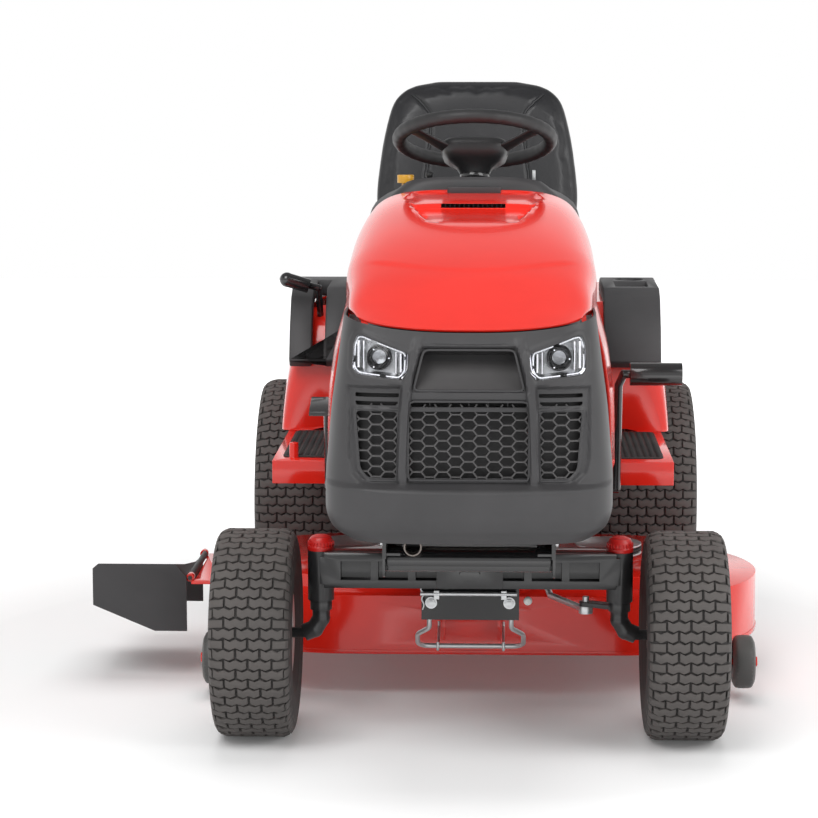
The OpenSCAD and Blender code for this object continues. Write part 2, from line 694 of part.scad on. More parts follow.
module right_spindle() color(black) mirror([1, 0, 0]) spindle();

module front_axle() color(black) {
    difference() {
        union() {
            block([-kingpin_x, -axle_half, 288], [kingpin_x, axle_half, 338]);
            for (z = [281, 338]) block([-kingpin_x + 8, -axle_half, z], [kingpin_x - 8, axle_half, z + 8]);
            both_sides() translate([kingpin_x, 0, tube_bot])
                cylinder(r = 24, h = tube_top - tube_bot, $fn = 64);
            along_y(-axle_half - 4, axle_half + 4, 0, axle_z, 30, 64);
        }
        along_y(-60, 60, 0, axle_z, 12 + fit);
        both_sides() {
            translate([kingpin_x, 0, tube_bot - 1])
                cylinder(r = kingpin_r + fit, h = tube_top - tube_bot + 2, $fn = 64);
            // casting pockets, front and back
            for (x = [44, 112, 180], y = [-axle_half - 1, 12])
                block([x, y, 296], [x + 54, y + 24, 330]);
        }
    }
    // dust caps
    both_sides() translate([kingpin_x, 0, tube_top]) {
        cylinder(r = 23, h = 8, $fn = 64);
        translate([0, 0, 8 - eps]) cylinder(r = 17, h = 17, $fn = 64);
    }
}

// ---- hood ----------------------------------------------------------------

hood_crown = 26;
// One ring of the hood's shell at y, from its lower left edge over the top.
// Its corners run back by "sweep" and up by "rise".
function hood_ring(y, hw, top, bot, sweep = 0, rise = 0, t = skin_t) = let (
    crown = hood_crown * min(1, (top - bot) / 120),
    lift = function (p, w, h) [p[0] * w, y + sweep * (1 - p[1]),
        bot + (h - bot) * p[1] - crown * p[0] * p[0] * p[1] + rise * pow(abs(p[0]), 2.5)],
    outer = [for (p = bow(0.34, 28)) lift(p, hw, top)],
    inner = [for (p = bow(0.34, 28)) lift(p, hw - t, top - t)])
    concat(outer, turned(inner));

module hood() color(red) difference() {
    skin_band([hood_ring(520, hood_hw - 20, hood_top, 520), hood_ring(400, hood_hw - 13, hood_top - 16, 500),
               hood_ring(250, hood_hw - 4, hood_top - 44, 500), hood_ring(100, hood_hw, hood_top - 78, 500),
               hood_ring(-56, hood_hw, hood_top - 120, 500), hood_ring(-59, 216, hood_top - 121, 790),
               hood_ring(-180, 210, hood_top - 161, 777, 60, 14), hood_ring(-266, 194, hood_top - 197, 764, 110, 30)]);
    // intake slot in the rear of the hood
    block([-66, 440, hood_top - 40], [66, 452, hood_top + 10]);
}

fascia_back = -62;
// One ring of the fascia's shell; its sides rise by "rise" above its middle.
function fascia_ring(z, hw, front, rise, t) = let (
    place_at = function (p, w, d) [p[0] * w, fascia_back - d * p[1], z + rise * pow(abs(p[0]), 2.5)],
    outer = [for (p = bow(0.34, 28)) place_at(p, hw, fascia_back + front)],
    inner = [for (p = bow(0.34, 28)) place_at(p, hw - t, fascia_back + front - t)])
    concat(outer, turned(inner));

module fascia_wall(t) {
    f = fascia_y;
    w = fascia_hw;
    skin_band([fascia_ring(772, w - 18, f - 58, 36, t), fascia_ring(700, w - 10, f - 34, 22, t),
               fascia_ring(560, w, f - 18, 8, t), fascia_ring(520, w, f - 16, 0, t),
               fascia_ring(510, w, f, 0, t), fascia_ring(460, w - 4, f - 2, 0, t),
               fascia_ring(430, w - 22, f - 12, 0, t), fascia_ring(414, w - 60, f - 30, 0, t)]);
}

grille_x = 101;
grille_z = [526, 690];
side_grille = [111, 160];
lamp_z = [697, 772];
lamp_outline = [[106, 700], [112, 697], [198, 706], [205, 722], [204, 757], [198, 763], [106, 738]];
module lamp_prism(g) for (s = [-1, 1]) scale([s, 1, 1])
    translate([0, -420, 0]) mirror([0, 1, 0]) rotate([90, 0, 0]) linear_extrude(260)
        polygon([for (p = lamp_outline) [156 + (p[0] - 156) * g, 735 + (p[1] - 735) * g]]);

module front_fascia() color(charcoal) {
    difference() {
        fascia_wall(skin_t);
        block([-grille_x, -400, grille_z[0]], [grille_x, -200, grille_z[1]]);
        block([-92, -400, 700], [92, -200, 764]);
        both_sides() {
            block([side_grille[0], -400, grille_z[0]], [side_grille[1], -200, 640]);
            for (z = [650, 664]) block([side_grille[0], -400, z], [side_grille[1], -200, z + 7]);
        }
        lamp_prism(1);
    }
    // hinge arms with their pins
    both_sides() {
        along_x(rail_x + 0.5, fascia_hw - 31, hood_hinge[0], hood_hinge[1], 12);
        along_x(rail_x - 12, rail_x + 1, hood_hinge[0], hood_hinge[1], hinge_r);
    }
}

hex_pitch = [21.9, 17.7];
// Flat panel from x0 to x1 pierced by a honeycomb, lying in X and Y.
module comb(x0, x1, h) difference() {
    translate([x0, 0]) square([x1 - x0, h]);
    for (i = [0:floor((x1 - x0 - 20) / hex_pitch[0])], j = [0:floor((h - 14) / hex_pitch[1]) - 1])
        let (x = x0 + 19 + i * hex_pitch[0], y = 8 + (j + (i % 2) / 2) * hex_pitch[1])
            if (x < x1 - 16) translate([x, y + 6]) scale([1.6, 0.9]) circle(r = 9, $fn = 6);
}
module grille_mesh() color(black) {
    lean = 5.0;
    place_at = [0, -fascia_y + 16 + skin_t + 1.1, 520];
    translate(place_at) rotate([90 - lean, 0, 0]) mirror([0, 0, 1]) linear_extrude(5)
        comb(-108, 108, 130);
    both_sides() translate([109, place_at[1] + 1.4, 520]) rotate([0, 0, 6.5]) rotate([90 - lean, 0, 0])
        mirror([0, 0, 1]) linear_extrude(5) comb(0, 56, 130);
}

module headlights() color("#e8ecef") intersection() {
    fascia_wall(16);
    lamp_prism(0.994);
}

// ---- seat ----------------------------------------------------------------

half_seat = seat_w / 2;
pad_z = 746;
plate_z = 722;
shell_z = plate_z + 6 + seat_gap;
// slope of the backrest's rear face
back_foot = [1262, pad_z + 64];
back_head = [1312, seat_top - 15];

module seat_hinge_plate() color(black) {
    block([-165, 898, plate_z], [165, 1210, plate_z + 6]);
    both_sides() block([130, 872, 698], [136, 912, plate_z + 6]);
    along_x(-136, 136, seat_hinge[0], seat_hinge[1], hinge_r, 48);
    for (x = [-110, 110]) translate([x, 1165, pan_top + seat_gap])
        cylinder(r = 20, h = plate_z - pan_top - seat_gap + eps, $fn = 48);
}

module seat_shell() color(black) intersection() {
    side_extrude(-half_seat, half_seat, [
        [908, shell_z], [898, shell_z + 6], [898, pad_z], [1230, pad_z], back_foot, back_head,
        [back_head[0] + 14, back_head[1]], [back_foot[0] + 18, back_foot[1] - 12],
        [1244, shell_z + 4], [1236, shell_z]]);
    translate([0, 1400, 0]) rotate([90, 0, 0]) linear_extrude(560) polygon(concat(
        [[half_seat - 14, shell_z - 1], [-half_seat + 14, shell_z - 1]],
        [for (s = back_outline) [-s[0] * half_seat + 6, s[1] + 1]],
        [for (s = turned(back_outline)) [s[0] * half_seat - 6, s[1] + 1]]));
}

module seat_cushion() color("#262629") {
    z = pad_z + seat_gap;
    side_extrude(-half_seat, half_seat, [[908, z], [894, z + 24], [894, cushion_top - 30],
        [908, cushion_top - 8], [950, cushion_top], [1140, cushion_top - 10], [1226, cushion_top - 4],
        [1238, z + 40], [1229, z]]);
}

module seat_backrest() color("#262629") intersection() {
    translate([0, 1400, 0]) rotate([90, 0, 0]) linear_extrude(300) polygon(concat(
        [for (s = back_outline) [-s[0] * half_seat, s[1]]],
        [for (s = turned(back_outline)) [s[0] * half_seat, s[1]]]));
    side_extrude(-half_seat - 10, half_seat + 10, [
        [1180, cushion_top + 1], [1192, 880], [1232, seat_top - 60], [1250, seat_top - 12],
        [1272, seat_top], [1300, seat_top], [back_head[0] - 0.3, back_head[1]],
        [back_foot[0] - 0.3, back_foot[1]], [1244, cushion_top + 1]]);
}
back_outline = [[0.80, cushion_top + 1], [0.98, 858], [1.0, 915], [0.95, 1009], [0.88, 1090],
                [0.80, seat_top - 40], [0.64, seat_top - 13], [0.5, seat_top - 2], [0.4, seat_top]];

// ---- pedals --------------------------------------------------------------

module brake_pedal() color(black) {
    along_x(rail_x - 16, 286, pedal_y, pedal_z, 8);
    bent_rod([[282, pedal_y, pedal_z], [282, 342, 606], [291, 330, 629], [312, 330, 629]], 8);
    along_x(303, 403, 330, 629, 22, 64);
}

module drive_pedal() color(black) {
    along_x(-286, -rail_x + 16, pedal_y, pedal_z, 8);
    bar([-282, pedal_y, pedal_z], [-282, 355, 560], 8);
    side_extrude(-316, -250, [[318, 546], [320, 554], [392, 574], [394, 566]]);
}

// ---- deck ----------------------------------------------------------------

module chamber_plan(r) {
    for (s = [-1, 1]) translate([deck_x + s * spindle_half, deck_y]) circle(r = r, $fn = 160);
    translate([deck_x - spindle_half, deck_y - r]) square([2 * spindle_half, 2 * r]);
}
module chamber(r, z0, z1) translate([0, 0, z0]) linear_extrude(z1 - z0) chamber_plan(r);

outlet = [410, 690];             // discharge opening along Y
chute_hinge = [-562, 206];       // along Y
gauge_at = [514, 300, 71.5];     // from the deck's middle
hanger_x = 112;
module deck_shell() color(red) {
    difference() {
        union() {
            chamber(chamber_r, lip_z, deck_top);
            chamber(chamber_r - 70, deck_top - eps, dome_top);
            // rolled lip
            difference() {
                chamber(chamber_r + lip_out, lip_z, lip_z + 8);
                chamber(chamber_r - 1, lip_z - 1, lip_z + 9);
            }
            for (s = [-1, 1]) translate([deck_x + s * spindle_half, deck_y, dome_top - eps])
                cylinder(r = 44, h = 5, $fn = 64);
        }
        chamber(chamber_r - deck_t, lip_z - 1, deck_top - deck_t);
        chamber(chamber_r - 74, deck_top - deck_t - 1, dome_top - deck_t);
        for (s = [-1, 1]) translate([deck_x + s * spindle_half, deck_y, deck_top])
            cylinder(r = 10 + fit, h = 60, $fn = 64);
        block([-600, outlet[0], lip_z - 1], [-440, outlet[1], deck_top - 8]);
    }
    // chute flange and its hinge knuckles
    difference() {
        union() {
            block([chute_hinge[0] + 4, outlet[0] - 8, deck_top - 4], [-500, outlet[1] + 8, deck_top + 1]);
            for (y = [outlet[0] + 6, outlet[1] - 26])
                along_y(y, y + 20, chute_hinge[0], chute_hinge[1], 8);
        }
        along_y(outlet[0] - 20, outlet[1] + 20, chute_hinge[0], chute_hinge[1], 4 + fit);
        block([chute_hinge[0] - 20, outlet[0] + 26.5, deck_top - 9],
              [chute_hinge[0] + 9, outlet[1] - 26.5, deck_top + 20]);
    }
    // front hanger ears, slotted for the cross bar
    both_sides() difference() {
        block([50, 236, 124], [56, deck_y - chamber_r + 2, 164]);
        for (y = [246, 274]) along_x(48, 58, y, bail_bar[2], 7.5);
        block([48, 246, bail_bar[2] - 7.5], [58, 274, bail_bar[2] + 7.5]);
    }
    // rear hangers up to the lift arms
    both_sides() {
        rod([hanger_x, 877, deck_top - 2], [hanger_x, 877, 524], 5);
        difference() {
            block([hanger_x - 4, 858, 522], [hanger_x + 4, 900, 552]);
            for (y = [868, 889]) along_x(hanger_x - 5, hanger_x + 5, y, 537, 7);
            block([hanger_x - 5, 868, 530], [hanger_x + 5, 889, 544]);
        }
    }
    // gauge wheel arms and pins
    for (s = [-1, 1]) translate([deck_x, 0, 0]) scale([s, 1, 1]) {
        block([gauge_at[0] - 29, gauge_at[1] - 12, gauge_at[2] - 10],
              [gauge_at[0] - 23, 392, gauge_at[2] + 50]);
        along_x(gauge_at[0] - 24, gauge_at[0] + 24, gauge_at[1], gauge_at[2], 6);
        along_x(gauge_at[0] + 22, gauge_at[0] + 27, gauge_at[1], gauge_at[2], 10, 6);
    }
}

module gauge_wheel(s) translate([deck_x + s * gauge_at[0], gauge_at[1], gauge_at[2]])
    rotate([0, 90, 0]) rotate_extrude($fn = 96) polygon([
        [6 + fit, -21], [40, -21], [50, -16], [51.5, -8], [51.5, 8], [50, 16], [40, 21], [6 + fit, 21]]);
module left_gauge_wheel() color("#3a3a3c") gauge_wheel(1);
module right_gauge_wheel() color("#3a3a3c") gauge_wheel(-1);

module discharge_chute() color(charcoal) {
    foot = -568;
    wall = 5;
    difference() {
        translate([0, outlet[1] + 6, 0]) rotate([90, 0, 0]) linear_extrude(outlet[1] - outlet[0] + 12)
            polygon([[foot, 209], [foot - 22, 236], [12 - chute_tip, 236], [-chute_tip, 226],
                     [-chute_tip, 152], [-632, 100], [foot, 100]]);
        translate([0, outlet[1] + 6 - wall, 0]) rotate([90, 0, 0])
            linear_extrude(outlet[1] - outlet[0] + 12 - 2 * wall)
                polygon([[foot + 9, 196], [foot - 24, 231], [wall - chute_tip, 231],
                         [wall - chute_tip, 90], [foot + 9, 90]]);
        for (y = [outlet[0] + 5, outlet[1] - 27])
            along_y(y, y + 22, chute_hinge[0], chute_hinge[1], 9);
    }
    along_y(outlet[0] + 27, outlet[1] - 27, chute_hinge[0], chute_hinge[1], 8);
    along_y(outlet[0] + 2, outlet[1] - 2, chute_hinge[0], chute_hinge[1], 4);
}

module blade() {
    z = 100;
    block([-30, -blade_r + 8, z], [30, blade_r - 8, z + 5]);
    for (a = [0, 180]) rotate([0, 0, a]) side_extrude(-30, 4, [
        [blade_r - 110, z + 5 - eps], [blade_r - 90, z + 24], [blade_r - 10, z + 24],
        [blade_r - 10, z + 20], [blade_r - 88, z + 20], [blade_r - 96, z + 5 - eps]]);
    translate([0, 0, z - 8]) cylinder(r = 15, h = 8 + eps, $fn = 6);
    translate([0, 0, z + 4]) cylinder(r = 10, h = pto_z - z, $fn = 64);
    pulley(pto_z, 60);
}
module left_blade() color(steel) translate([deck_x + spindle_half, deck_y, 0]) blade();
module right_blade() color(steel) translate([deck_x - spindle_half, deck_y, 0]) blade();

module lift_lever() color(black) {
    y = lift_at[1];
    z = lift_at[2];
    along_x(-336, rail_x + 6, y, z, 8, 48);
    both_sides() {
        translate([hanger_x - 14, y, z]) rotate([lift_rest + 180 - 2 * lift_rest, 0, 0])
            translate([0, -8, -8]) cube([8, lift_arm + 8, 16]);
        along_x(hanger_x - 7, hanger_x + 6, y - lift_arm * cos(lift_rest),
                z + lift_arm * sin(lift_rest), 5, 48);
    }
    bent_rod([[-330, y, z], [-330, 813, 750], [-360, 806, 758]], 7);
    bar([-350, 806, 754], [-396, 802, 768], 15);
    translate([-396, 802, 768]) sphere(r = 15.6, $fn = 32);
}

module front_bail() color(steel) {
    both_sides() {
        along_x(77, 97, bail_at[1], bail_at[2], 5);
        bent_rod([[78, bail_at[1], bail_at[2]], [74, 132, 202], [106, 206, 163],
                  [90, bail_bar[1], bail_bar[2]]], 5);
    }
    bar([-91, bail_bar[1], bail_bar[2]], [91, bail_bar[1], bail_bar[2]], 5.2);
}

// ---- drawn nodes ---------------------------------------------------------

place() left_frame_rail();
place() right_frame_rail();
place() front_crossmember();
place() rear_hitch_plate();
place() engine_block();
place() engine_cylinders();
place() blower_housing();
place() air_cleaner();
place() muffler();
place() battery();
place() fuel_tank();
place() fuel_cap();
place() transaxle();
place() transaxle_pulley();
place() fender_body();
place() left_footboard();
place() right_footboard();
place() dash_tower();
place() steering_column();
place() left_console();
place() right_console();
place() belts();
place() frame_bolts();
place() crankshaft();
place() front_axle();
place() left_spindle();
place() right_spindle();
place() tie_rod();
place() drag_link();
place() steering_sector();
place() steering_wheel();
place() left_front_tire();
place() right_front_tire();
place() left_rear_tire();
place() right_rear_tire();
place() left_front_rim();
place() right_front_rim();
place() left_rear_rim();
place() right_rear_rim();
place() hood();
place() front_fascia();
place() grille_mesh();
place() headlights();
place() seat_hinge_plate();
place() seat_shell();
place() seat_cushion();
place() seat_backrest();
place() brake_pedal();
place() drive_pedal();
place() deck_shell();
place() discharge_chute();
place() left_blade();
place() right_blade();
place() left_gauge_wheel();
place() right_gauge_wheel();
place() lift_lever();
place() front_bail();
place() throttle_lever();
place() pto_knob();
place() ignition_key();
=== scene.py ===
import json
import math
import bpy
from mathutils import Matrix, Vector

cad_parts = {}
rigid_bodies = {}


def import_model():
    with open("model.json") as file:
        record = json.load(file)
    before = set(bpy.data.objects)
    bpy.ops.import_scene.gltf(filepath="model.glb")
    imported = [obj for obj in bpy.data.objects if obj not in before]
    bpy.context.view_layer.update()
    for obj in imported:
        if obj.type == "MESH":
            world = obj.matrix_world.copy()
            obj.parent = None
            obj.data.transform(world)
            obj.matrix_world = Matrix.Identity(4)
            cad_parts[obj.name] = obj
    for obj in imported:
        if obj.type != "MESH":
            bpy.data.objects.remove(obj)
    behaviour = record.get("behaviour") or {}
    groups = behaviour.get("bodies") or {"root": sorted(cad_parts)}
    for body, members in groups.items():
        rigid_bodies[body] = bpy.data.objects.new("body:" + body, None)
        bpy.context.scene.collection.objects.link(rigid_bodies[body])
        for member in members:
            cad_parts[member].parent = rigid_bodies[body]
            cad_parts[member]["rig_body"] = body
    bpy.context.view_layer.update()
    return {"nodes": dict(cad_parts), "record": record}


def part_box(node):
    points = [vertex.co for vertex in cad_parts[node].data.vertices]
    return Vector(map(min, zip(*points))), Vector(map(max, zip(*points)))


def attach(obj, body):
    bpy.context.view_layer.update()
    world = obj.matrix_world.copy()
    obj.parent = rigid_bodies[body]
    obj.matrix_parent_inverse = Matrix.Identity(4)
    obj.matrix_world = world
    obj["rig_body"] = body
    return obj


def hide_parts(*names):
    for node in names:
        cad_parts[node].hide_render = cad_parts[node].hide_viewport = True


bl_info = {
    "name": "Riding Lawn Mower Looks",
    "version": (1, 0, 0),
    "blender": (4, 5, 0),
    "location": "3D View > Sidebar > Mower",
    "description": "Builds the visible pieces of a riding lawn mower round its packed frame",
    "category": "Object",
}

import bmesh
import bpy
import numpy as np
from bpy.props import FloatProperty, FloatVectorProperty, IntProperty, PointerProperty
from mathutils import Vector
from mathutils.bvhtree import BVHTree
from mathutils.kdtree import KDTree

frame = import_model()

# Pieces are modelled in millimetres: X to the machine's left of its middle plane,
# Y behind the front axle line, Z above the ground.
MM = 0.001


def mid(node):
    low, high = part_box(node)
    return (low + high) / 2


ORIGIN = np.array([(mid("left_front_tire").x + mid("right_front_tire").x) / 2,
                   mid("left_front_tire").y, 0.0])


def to_row(points):
    return np.asarray(points, float) * MM + ORIGIN


def box_mm(node):
    """A frame node's lowest and highest corners in millimetres."""
    low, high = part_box(node)
    return (np.array(low) - ORIGIN) / MM, (np.array(high) - ORIGIN) / MM


# ---- shapes ----


class Shape:
    """Points and faces that add up to one mesh."""

    def __init__(self, *parts):
        self.points, self.faces = [], []
        for part in parts:
            self.add(*part)

    def add(self, points, faces):
        start = len(self.points)
        self.points += [tuple(map(float, p)) for p in points]
        self.faces += [tuple(start + i for i in f) for f in faces]
        return self


def grid(rows, wrap=False, caps=False):
    """Quads between rows of points; wrap joins each row's ends, caps close the first and last row."""
    rows = np.asarray(rows, float)
    n, m, _ = rows.shape
    last = m if wrap else m - 1
    faces = [(j * m + k, j * m + (k + 1) % m, (j + 1) * m + (k + 1) % m, (j + 1) * m + k)
             for j in range(n - 1) for k in range(last)]
    if caps:
        faces += [tuple(reversed(range(m))), tuple((n - 1) * m + k for k in range(m))]
    return rows.reshape(-1, 3), faces


def loft(rows):
    """A closed form through rings of points."""
    return grid(rows, wrap=True, caps=True)


def ring_angles(count):
    return np.linspace(0, 2 * math.pi, count, endpoint=False)


def squared(wave, power):
    """A sine or cosine pulled towards a square wave as the power falls."""
    return np.sign(wave) * np.abs(wave) ** power


def fillet(points, radius, steps=5, closed=False):
    """A line of points with its corners rounded."""
    pts = [np.array(p, float) for p in points]
    n = len(pts)
    out = []
    for i in range(n):
        if not closed and i in (0, n - 1):
            out.append(pts[i])
            continue
        a, b, c = pts[i - 1], pts[i], pts[(i + 1) % n]
        u, v = a - b, c - b
        lu, lv = np.linalg.norm(u), np.linalg.norm(v)
        r = radius[i] if hasattr(radius, "__len__") else radius
        cut = min(r, 0.49 * lu, 0.49 * lv)
        s, e = b + u / lu * cut, b + v / lv * cut
        for k in range(steps + 1):
            t = k / steps
            out.append((1 - t) ** 2 * s + 2 * t * (1 - t) * b + t * t * e)
    return np.array(out)


def rounded_box(x0, y0, x1, y1, radius, steps=5):
    """The outline of a rectangle with round corners."""
    return fillet([(x0, y0), (x1, y0), (x1, y1), (x0, y1)], radius, steps, True)


def frames_along(path, closed=False):
    """Tangent, side and up vectors at each point of a path, turning as little as they can."""
    path = np.asarray(path, float)
    if closed:
        tangents = np.roll(path, -1, 0) - np.roll(path, 1, 0)
    else:
        tangents = np.gradient(path, axis=0)
    tangents /= np.linalg.norm(tangents, axis=1)[:, None]
    up = np.cross(tangents[0], [1.0, 0, 0])
    if np.linalg.norm(up) < 0.2:
        up = np.cross(tangents[0], [0, 0, 1.0])
    ups = []
    for t in tangents:
        up = up - t * (up @ t)
        up /= np.linalg.norm(up)
        ups.append(up)
    ups = np.array(ups)
    return tangents, np.cross(tangents, ups), ups


def tube(path, radius, sides=20, closed=False):
    """A round bar along a path. The radius is one number or one for each point."""
    path = np.asarray(path, float)
    _, side, up = frames_along(path, closed)
    r = np.broadcast_to(np.asarray(radius, float), (len(path),))
    a = ring_angles(sides)
    rows = path[:, None] + r[:, None, None] * (
        np.cos(a)[None, :, None] * side[:, None] + np.sin(a)[None, :, None] * up[:, None])
    if closed:
        rows = np.concatenate([rows, rows[:1]])
    return grid(rows, wrap=True, caps=not closed)


def band(path, profile, closed=False, up_hint=None):
    """A closed profile of (side, up) points swept along a path."""
    path = np.asarray(path, float)
    tangents, side, up = frames_along(path, closed)
    if up_hint is not None:
        up = np.broadcast_to(np.asarray(up_hint, float), tangents.shape)
        up = up - tangents * np.sum(up * tangents, 1)[:, None]
        up /= np.linalg.norm(up, axis=1)[:, None]
        side = np.cross(tangents, up)
    profile = np.asarray(profile, float)
    rows = (path[:, None] + profile[None, :, 0, None] * side[:, None]
            + profile[None, :, 1, None] * up[:, None])
    if closed:
        rows = np.concatenate([rows, rows[:1]])
    return grid(rows, wrap=True, caps=not closed)


AXES = {"x": (1, 2, 0), "y": (2, 0, 1), "z": (0, 1, 2)}


def lathe(profile, centre, axis="z", steps=96, closed=False):
    """A profile of (along, radius) points turned about an axis through the centre."""
    u, v, w = AXES[axis]
    a = ring_angles(steps)
    rows = []
    for along, radius in profile:
        ring = np.zeros((steps, 3))
        ring[:, u], ring[:, v], ring[:, w] = radius * np.cos(a), radius * np.sin(a), along
        rows.append(ring + np.asarray(centre, float))
    if closed:
        rows.append(rows[0])
    return grid(rows, wrap=True, caps=not closed)


def prism(outline, low, high, axis="z"):
    """A flat outline drawn out along an axis from low to high."""
    u, v, w = AXES[axis]
    rows = []
    for at in (low, high):
        ring = np.zeros((len(outline), 3))
        ring[:, u], ring[:, v], ring[:, w] = [p[0] for p in outline], [p[1] for p in outline], at
        rows.append(ring)
    return loft(rows)


def brick(low, high):
    (x0, y0, z0), (x1, y1, z1) = low, high
    return prism([(x0, y0), (x1, y0), (x1, y1), (x0, y1)], z0, z1)


def sorted_box(a, b):
    return np.minimum(a, b), np.maximum(a, b)


SIDES = (("left", 1), ("right", -1))


def both_sides(part):
    """The same part at both sides of the middle plane."""
    points, faces = part
    other = np.asarray(points, float) * (-1, 1, 1)
    return (points, faces), (other, [tuple(reversed(f)) for f in faces])


def soft_step(low, high, x):
    t = np.clip((x - low) / (high - low), 0, 1)
    return t * t * (3 - 2 * t)


def smooth_curve(xs, ys, x):
    """A smooth curve through points that never overshoots them."""
    xs, ys = np.asarray(xs, float), np.asarray(ys, float)
    if xs[0] > xs[-1]:
        xs, ys = xs[::-1], ys[::-1]
    h, d = np.diff(xs), np.diff(ys) / np.diff(xs)
    m = np.zeros(len(xs))
    m[0], m[-1] = d[0], d[-1]
    for i in range(1, len(xs) - 1):
        if d[i - 1] * d[i] > 0:
            w1, w2 = 2 * h[i] + h[i - 1], h[i] + 2 * h[i - 1]
            m[i] = (w1 + w2) / (w1 / d[i - 1] + w2 / d[i])
    x = np.clip(np.asarray(x, float), xs[0], xs[-1])
    i = np.clip(np.searchsorted(xs, x) - 1, 0, len(xs) - 2)
    t = (x - xs[i]) / h[i]
    return ((2 * t ** 3 - 3 * t ** 2 + 1) * ys[i] + (t ** 3 - 2 * t ** 2 + t) * h[i] * m[i]
            + (3 * t ** 2 - 2 * t ** 3) * ys[i + 1] + (t ** 3 - t ** 2) * h[i] * m[i + 1])


def read_curve(table, column, x):
    """A column of a table as a smooth curve over the table's first column."""
    return smooth_curve(table[:, 0], table[:, column], x)


def outline_distance(outline, x, z):
    """Distance to a closed outline, less than nought inside it."""
    pts = np.asarray(outline, float)
    best = np.full(np.shape(x), 1e9)
    inside = np.zeros(np.shape(x), bool)
    for a, b in zip(pts, np.roll(pts, -1, 0)):
        e = b - a
        t = np.clip(((x - a[0]) * e[0] + (z - a[1]) * e[1]) / (e @ e), 0, 1)
        best = np.minimum(best, np.hypot(x - a[0] - t * e[0], z - a[1] - t * e[1]))
        crosses = (a[1] > z) != (b[1] > z)
        rise = np.where(b[1] == a[1], 1e-9, b[1] - a[1])
        inside ^= crosses & (x < a[0] + (z - a[1]) * e[0] / rise)
    return np.where(inside, -best, best)


# ---- meshes and pieces ----


def plain(obj):
    """Turns an object with its modifiers into a plain mesh."""
    graph = bpy.context.evaluated_depsgraph_get()
    mesh = bpy.data.meshes.new_from_object(obj.evaluated_get(graph), depsgraph=graph)
    old = obj.data
    obj.modifiers.clear()
    obj.data = mesh
    mesh.name = obj.name
    if old.users == 0:
        bpy.data.meshes.remove(old)
    return obj


def points_of(obj):
    points = np.empty(len(obj.data.vertices) * 3)
    obj.data.vertices.foreach_get("co", points)
    return points.reshape(-1, 3)


def move_points(obj, points):
    obj.data.vertices.foreach_set("co", points.ravel())
    obj.data.update()


def shade(obj, angle=35):
    obj.data.polygons.foreach_set("use_smooth", [True] * len(obj.data.polygons))
    obj.data.set_sharp_from_angle(angle=math.radians(angle))


def new_object(name, data):
    obj = bpy.data.objects.new(name, data)
    bpy.context.scene.collection.objects.link(obj)
    return obj


def mesh_object(name, shape, finish=None, in_row=True):
    mesh = bpy.data.meshes.new(name)
    points = to_row(shape.points) if in_row else np.asarray(shape.points) * MM
    mesh.from_pydata(points.tolist(), [], shape.faces)
    bm = bmesh.new()
    bm.from_mesh(mesh)
    bmesh.ops.remove_doubles(bm, verts=bm.verts, dist=1e-6)
    bmesh.ops.recalc_face_normals(bm, faces=bm.faces)
    bm.to_mesh(mesh)
    bm.free()
    obj = new_object(name, mesh)
    if finish:
        mesh.materials.append(finish_of(finish))
    return obj


def modify(obj, kind, **settings):
    modifier = obj.modifiers.new(kind.title(), kind)
    for key, value in settings.items():
        setattr(modifier, key, value)
    return modifier


def add_bevel(obj, width, segments=3, angle=30):
    modify(obj, "BEVEL", width=width * MM, segments=segments, limit_method="ANGLE",
           angle_limit=math.radians(angle), use_clamp_overlap=True)


def settle(obj, body, replaces=(), smooth=35):
    """Applies what is live on a piece, shades it and hangs it on its body."""
    if obj.modifiers:
        plain(obj)
    shade(obj, smooth)
    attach(obj, body)
    if replaces:
        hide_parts(*replaces)
    return obj


def make(name, shape, finish, body, replaces=(), bevel=0, wall=0, levels=0,
         smooth=35):
    """A finished piece, with its finish as its material."""
    obj = mesh_object(name, shape, finish)
    if levels:
        modify(obj, "SUBSURF", levels=levels, render_levels=levels)
    if wall:
        modify(obj, "SOLIDIFY", thickness=wall * MM, offset=-1, use_even_offset=True)
    if bevel:
        add_bevel(obj, bevel)
    return settle(obj, body, replaces, smooth)


def cut(obj, cutters):
    """Takes closed shapes out of a piece."""
    tool = mesh_object("cutter", cutters)
    modify(obj, "BOOLEAN", operation="DIFFERENCE", solver="EXACT", object=tool)
    plain(obj)
    bpy.data.objects.remove(tool)
    return obj


def body_of_node(node):
    return frame["nodes"][node]["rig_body"]


def node_slot(node):
    return next(s["material_slot"] for s in frame["record"]["subparts"] if s["node"] == node)


def rounded_copy(node, finish, width, segments=2, reshape=None):
    """A merged copy of a frame node with its hard edges rounded, standing for the node."""
    mesh = frame["nodes"][node].data.copy()
    bm = bmesh.new()
    bm.from_mesh(mesh)
    bmesh.ops.remove_doubles(bm, verts=bm.verts, dist=2e-6)
    if reshape:
        for vert in bm.verts:
            vert.co = to_row([reshape(*(np.array(vert.co) - ORIGIN) / MM)])[0]
    bmesh.ops.dissolve_limit(bm, angle_limit=math.radians(0.6), verts=bm.verts, edges=bm.edges)
    bm.to_mesh(mesh)
    bm.free()
    mesh.materials.clear()
    mesh.materials.append(finish_of(finish))
    obj = new_object(node + "_body", mesh)
    add_bevel(obj, width, segments, 32)
    return settle(obj, body_of_node(node), [node], 40)


# ---- sizes and colours a user may change ----


def length_prop(name, text, default):
    return FloatProperty(name=name, description=text, default=default * MM, min=0.0,
                         unit="LENGTH", precision=5)


def colour_prop(name, text, default):
    return FloatVectorProperty(name=name, description=text, default=default, size=3,
                               subtype="COLOR", min=0.0, max=1.0)


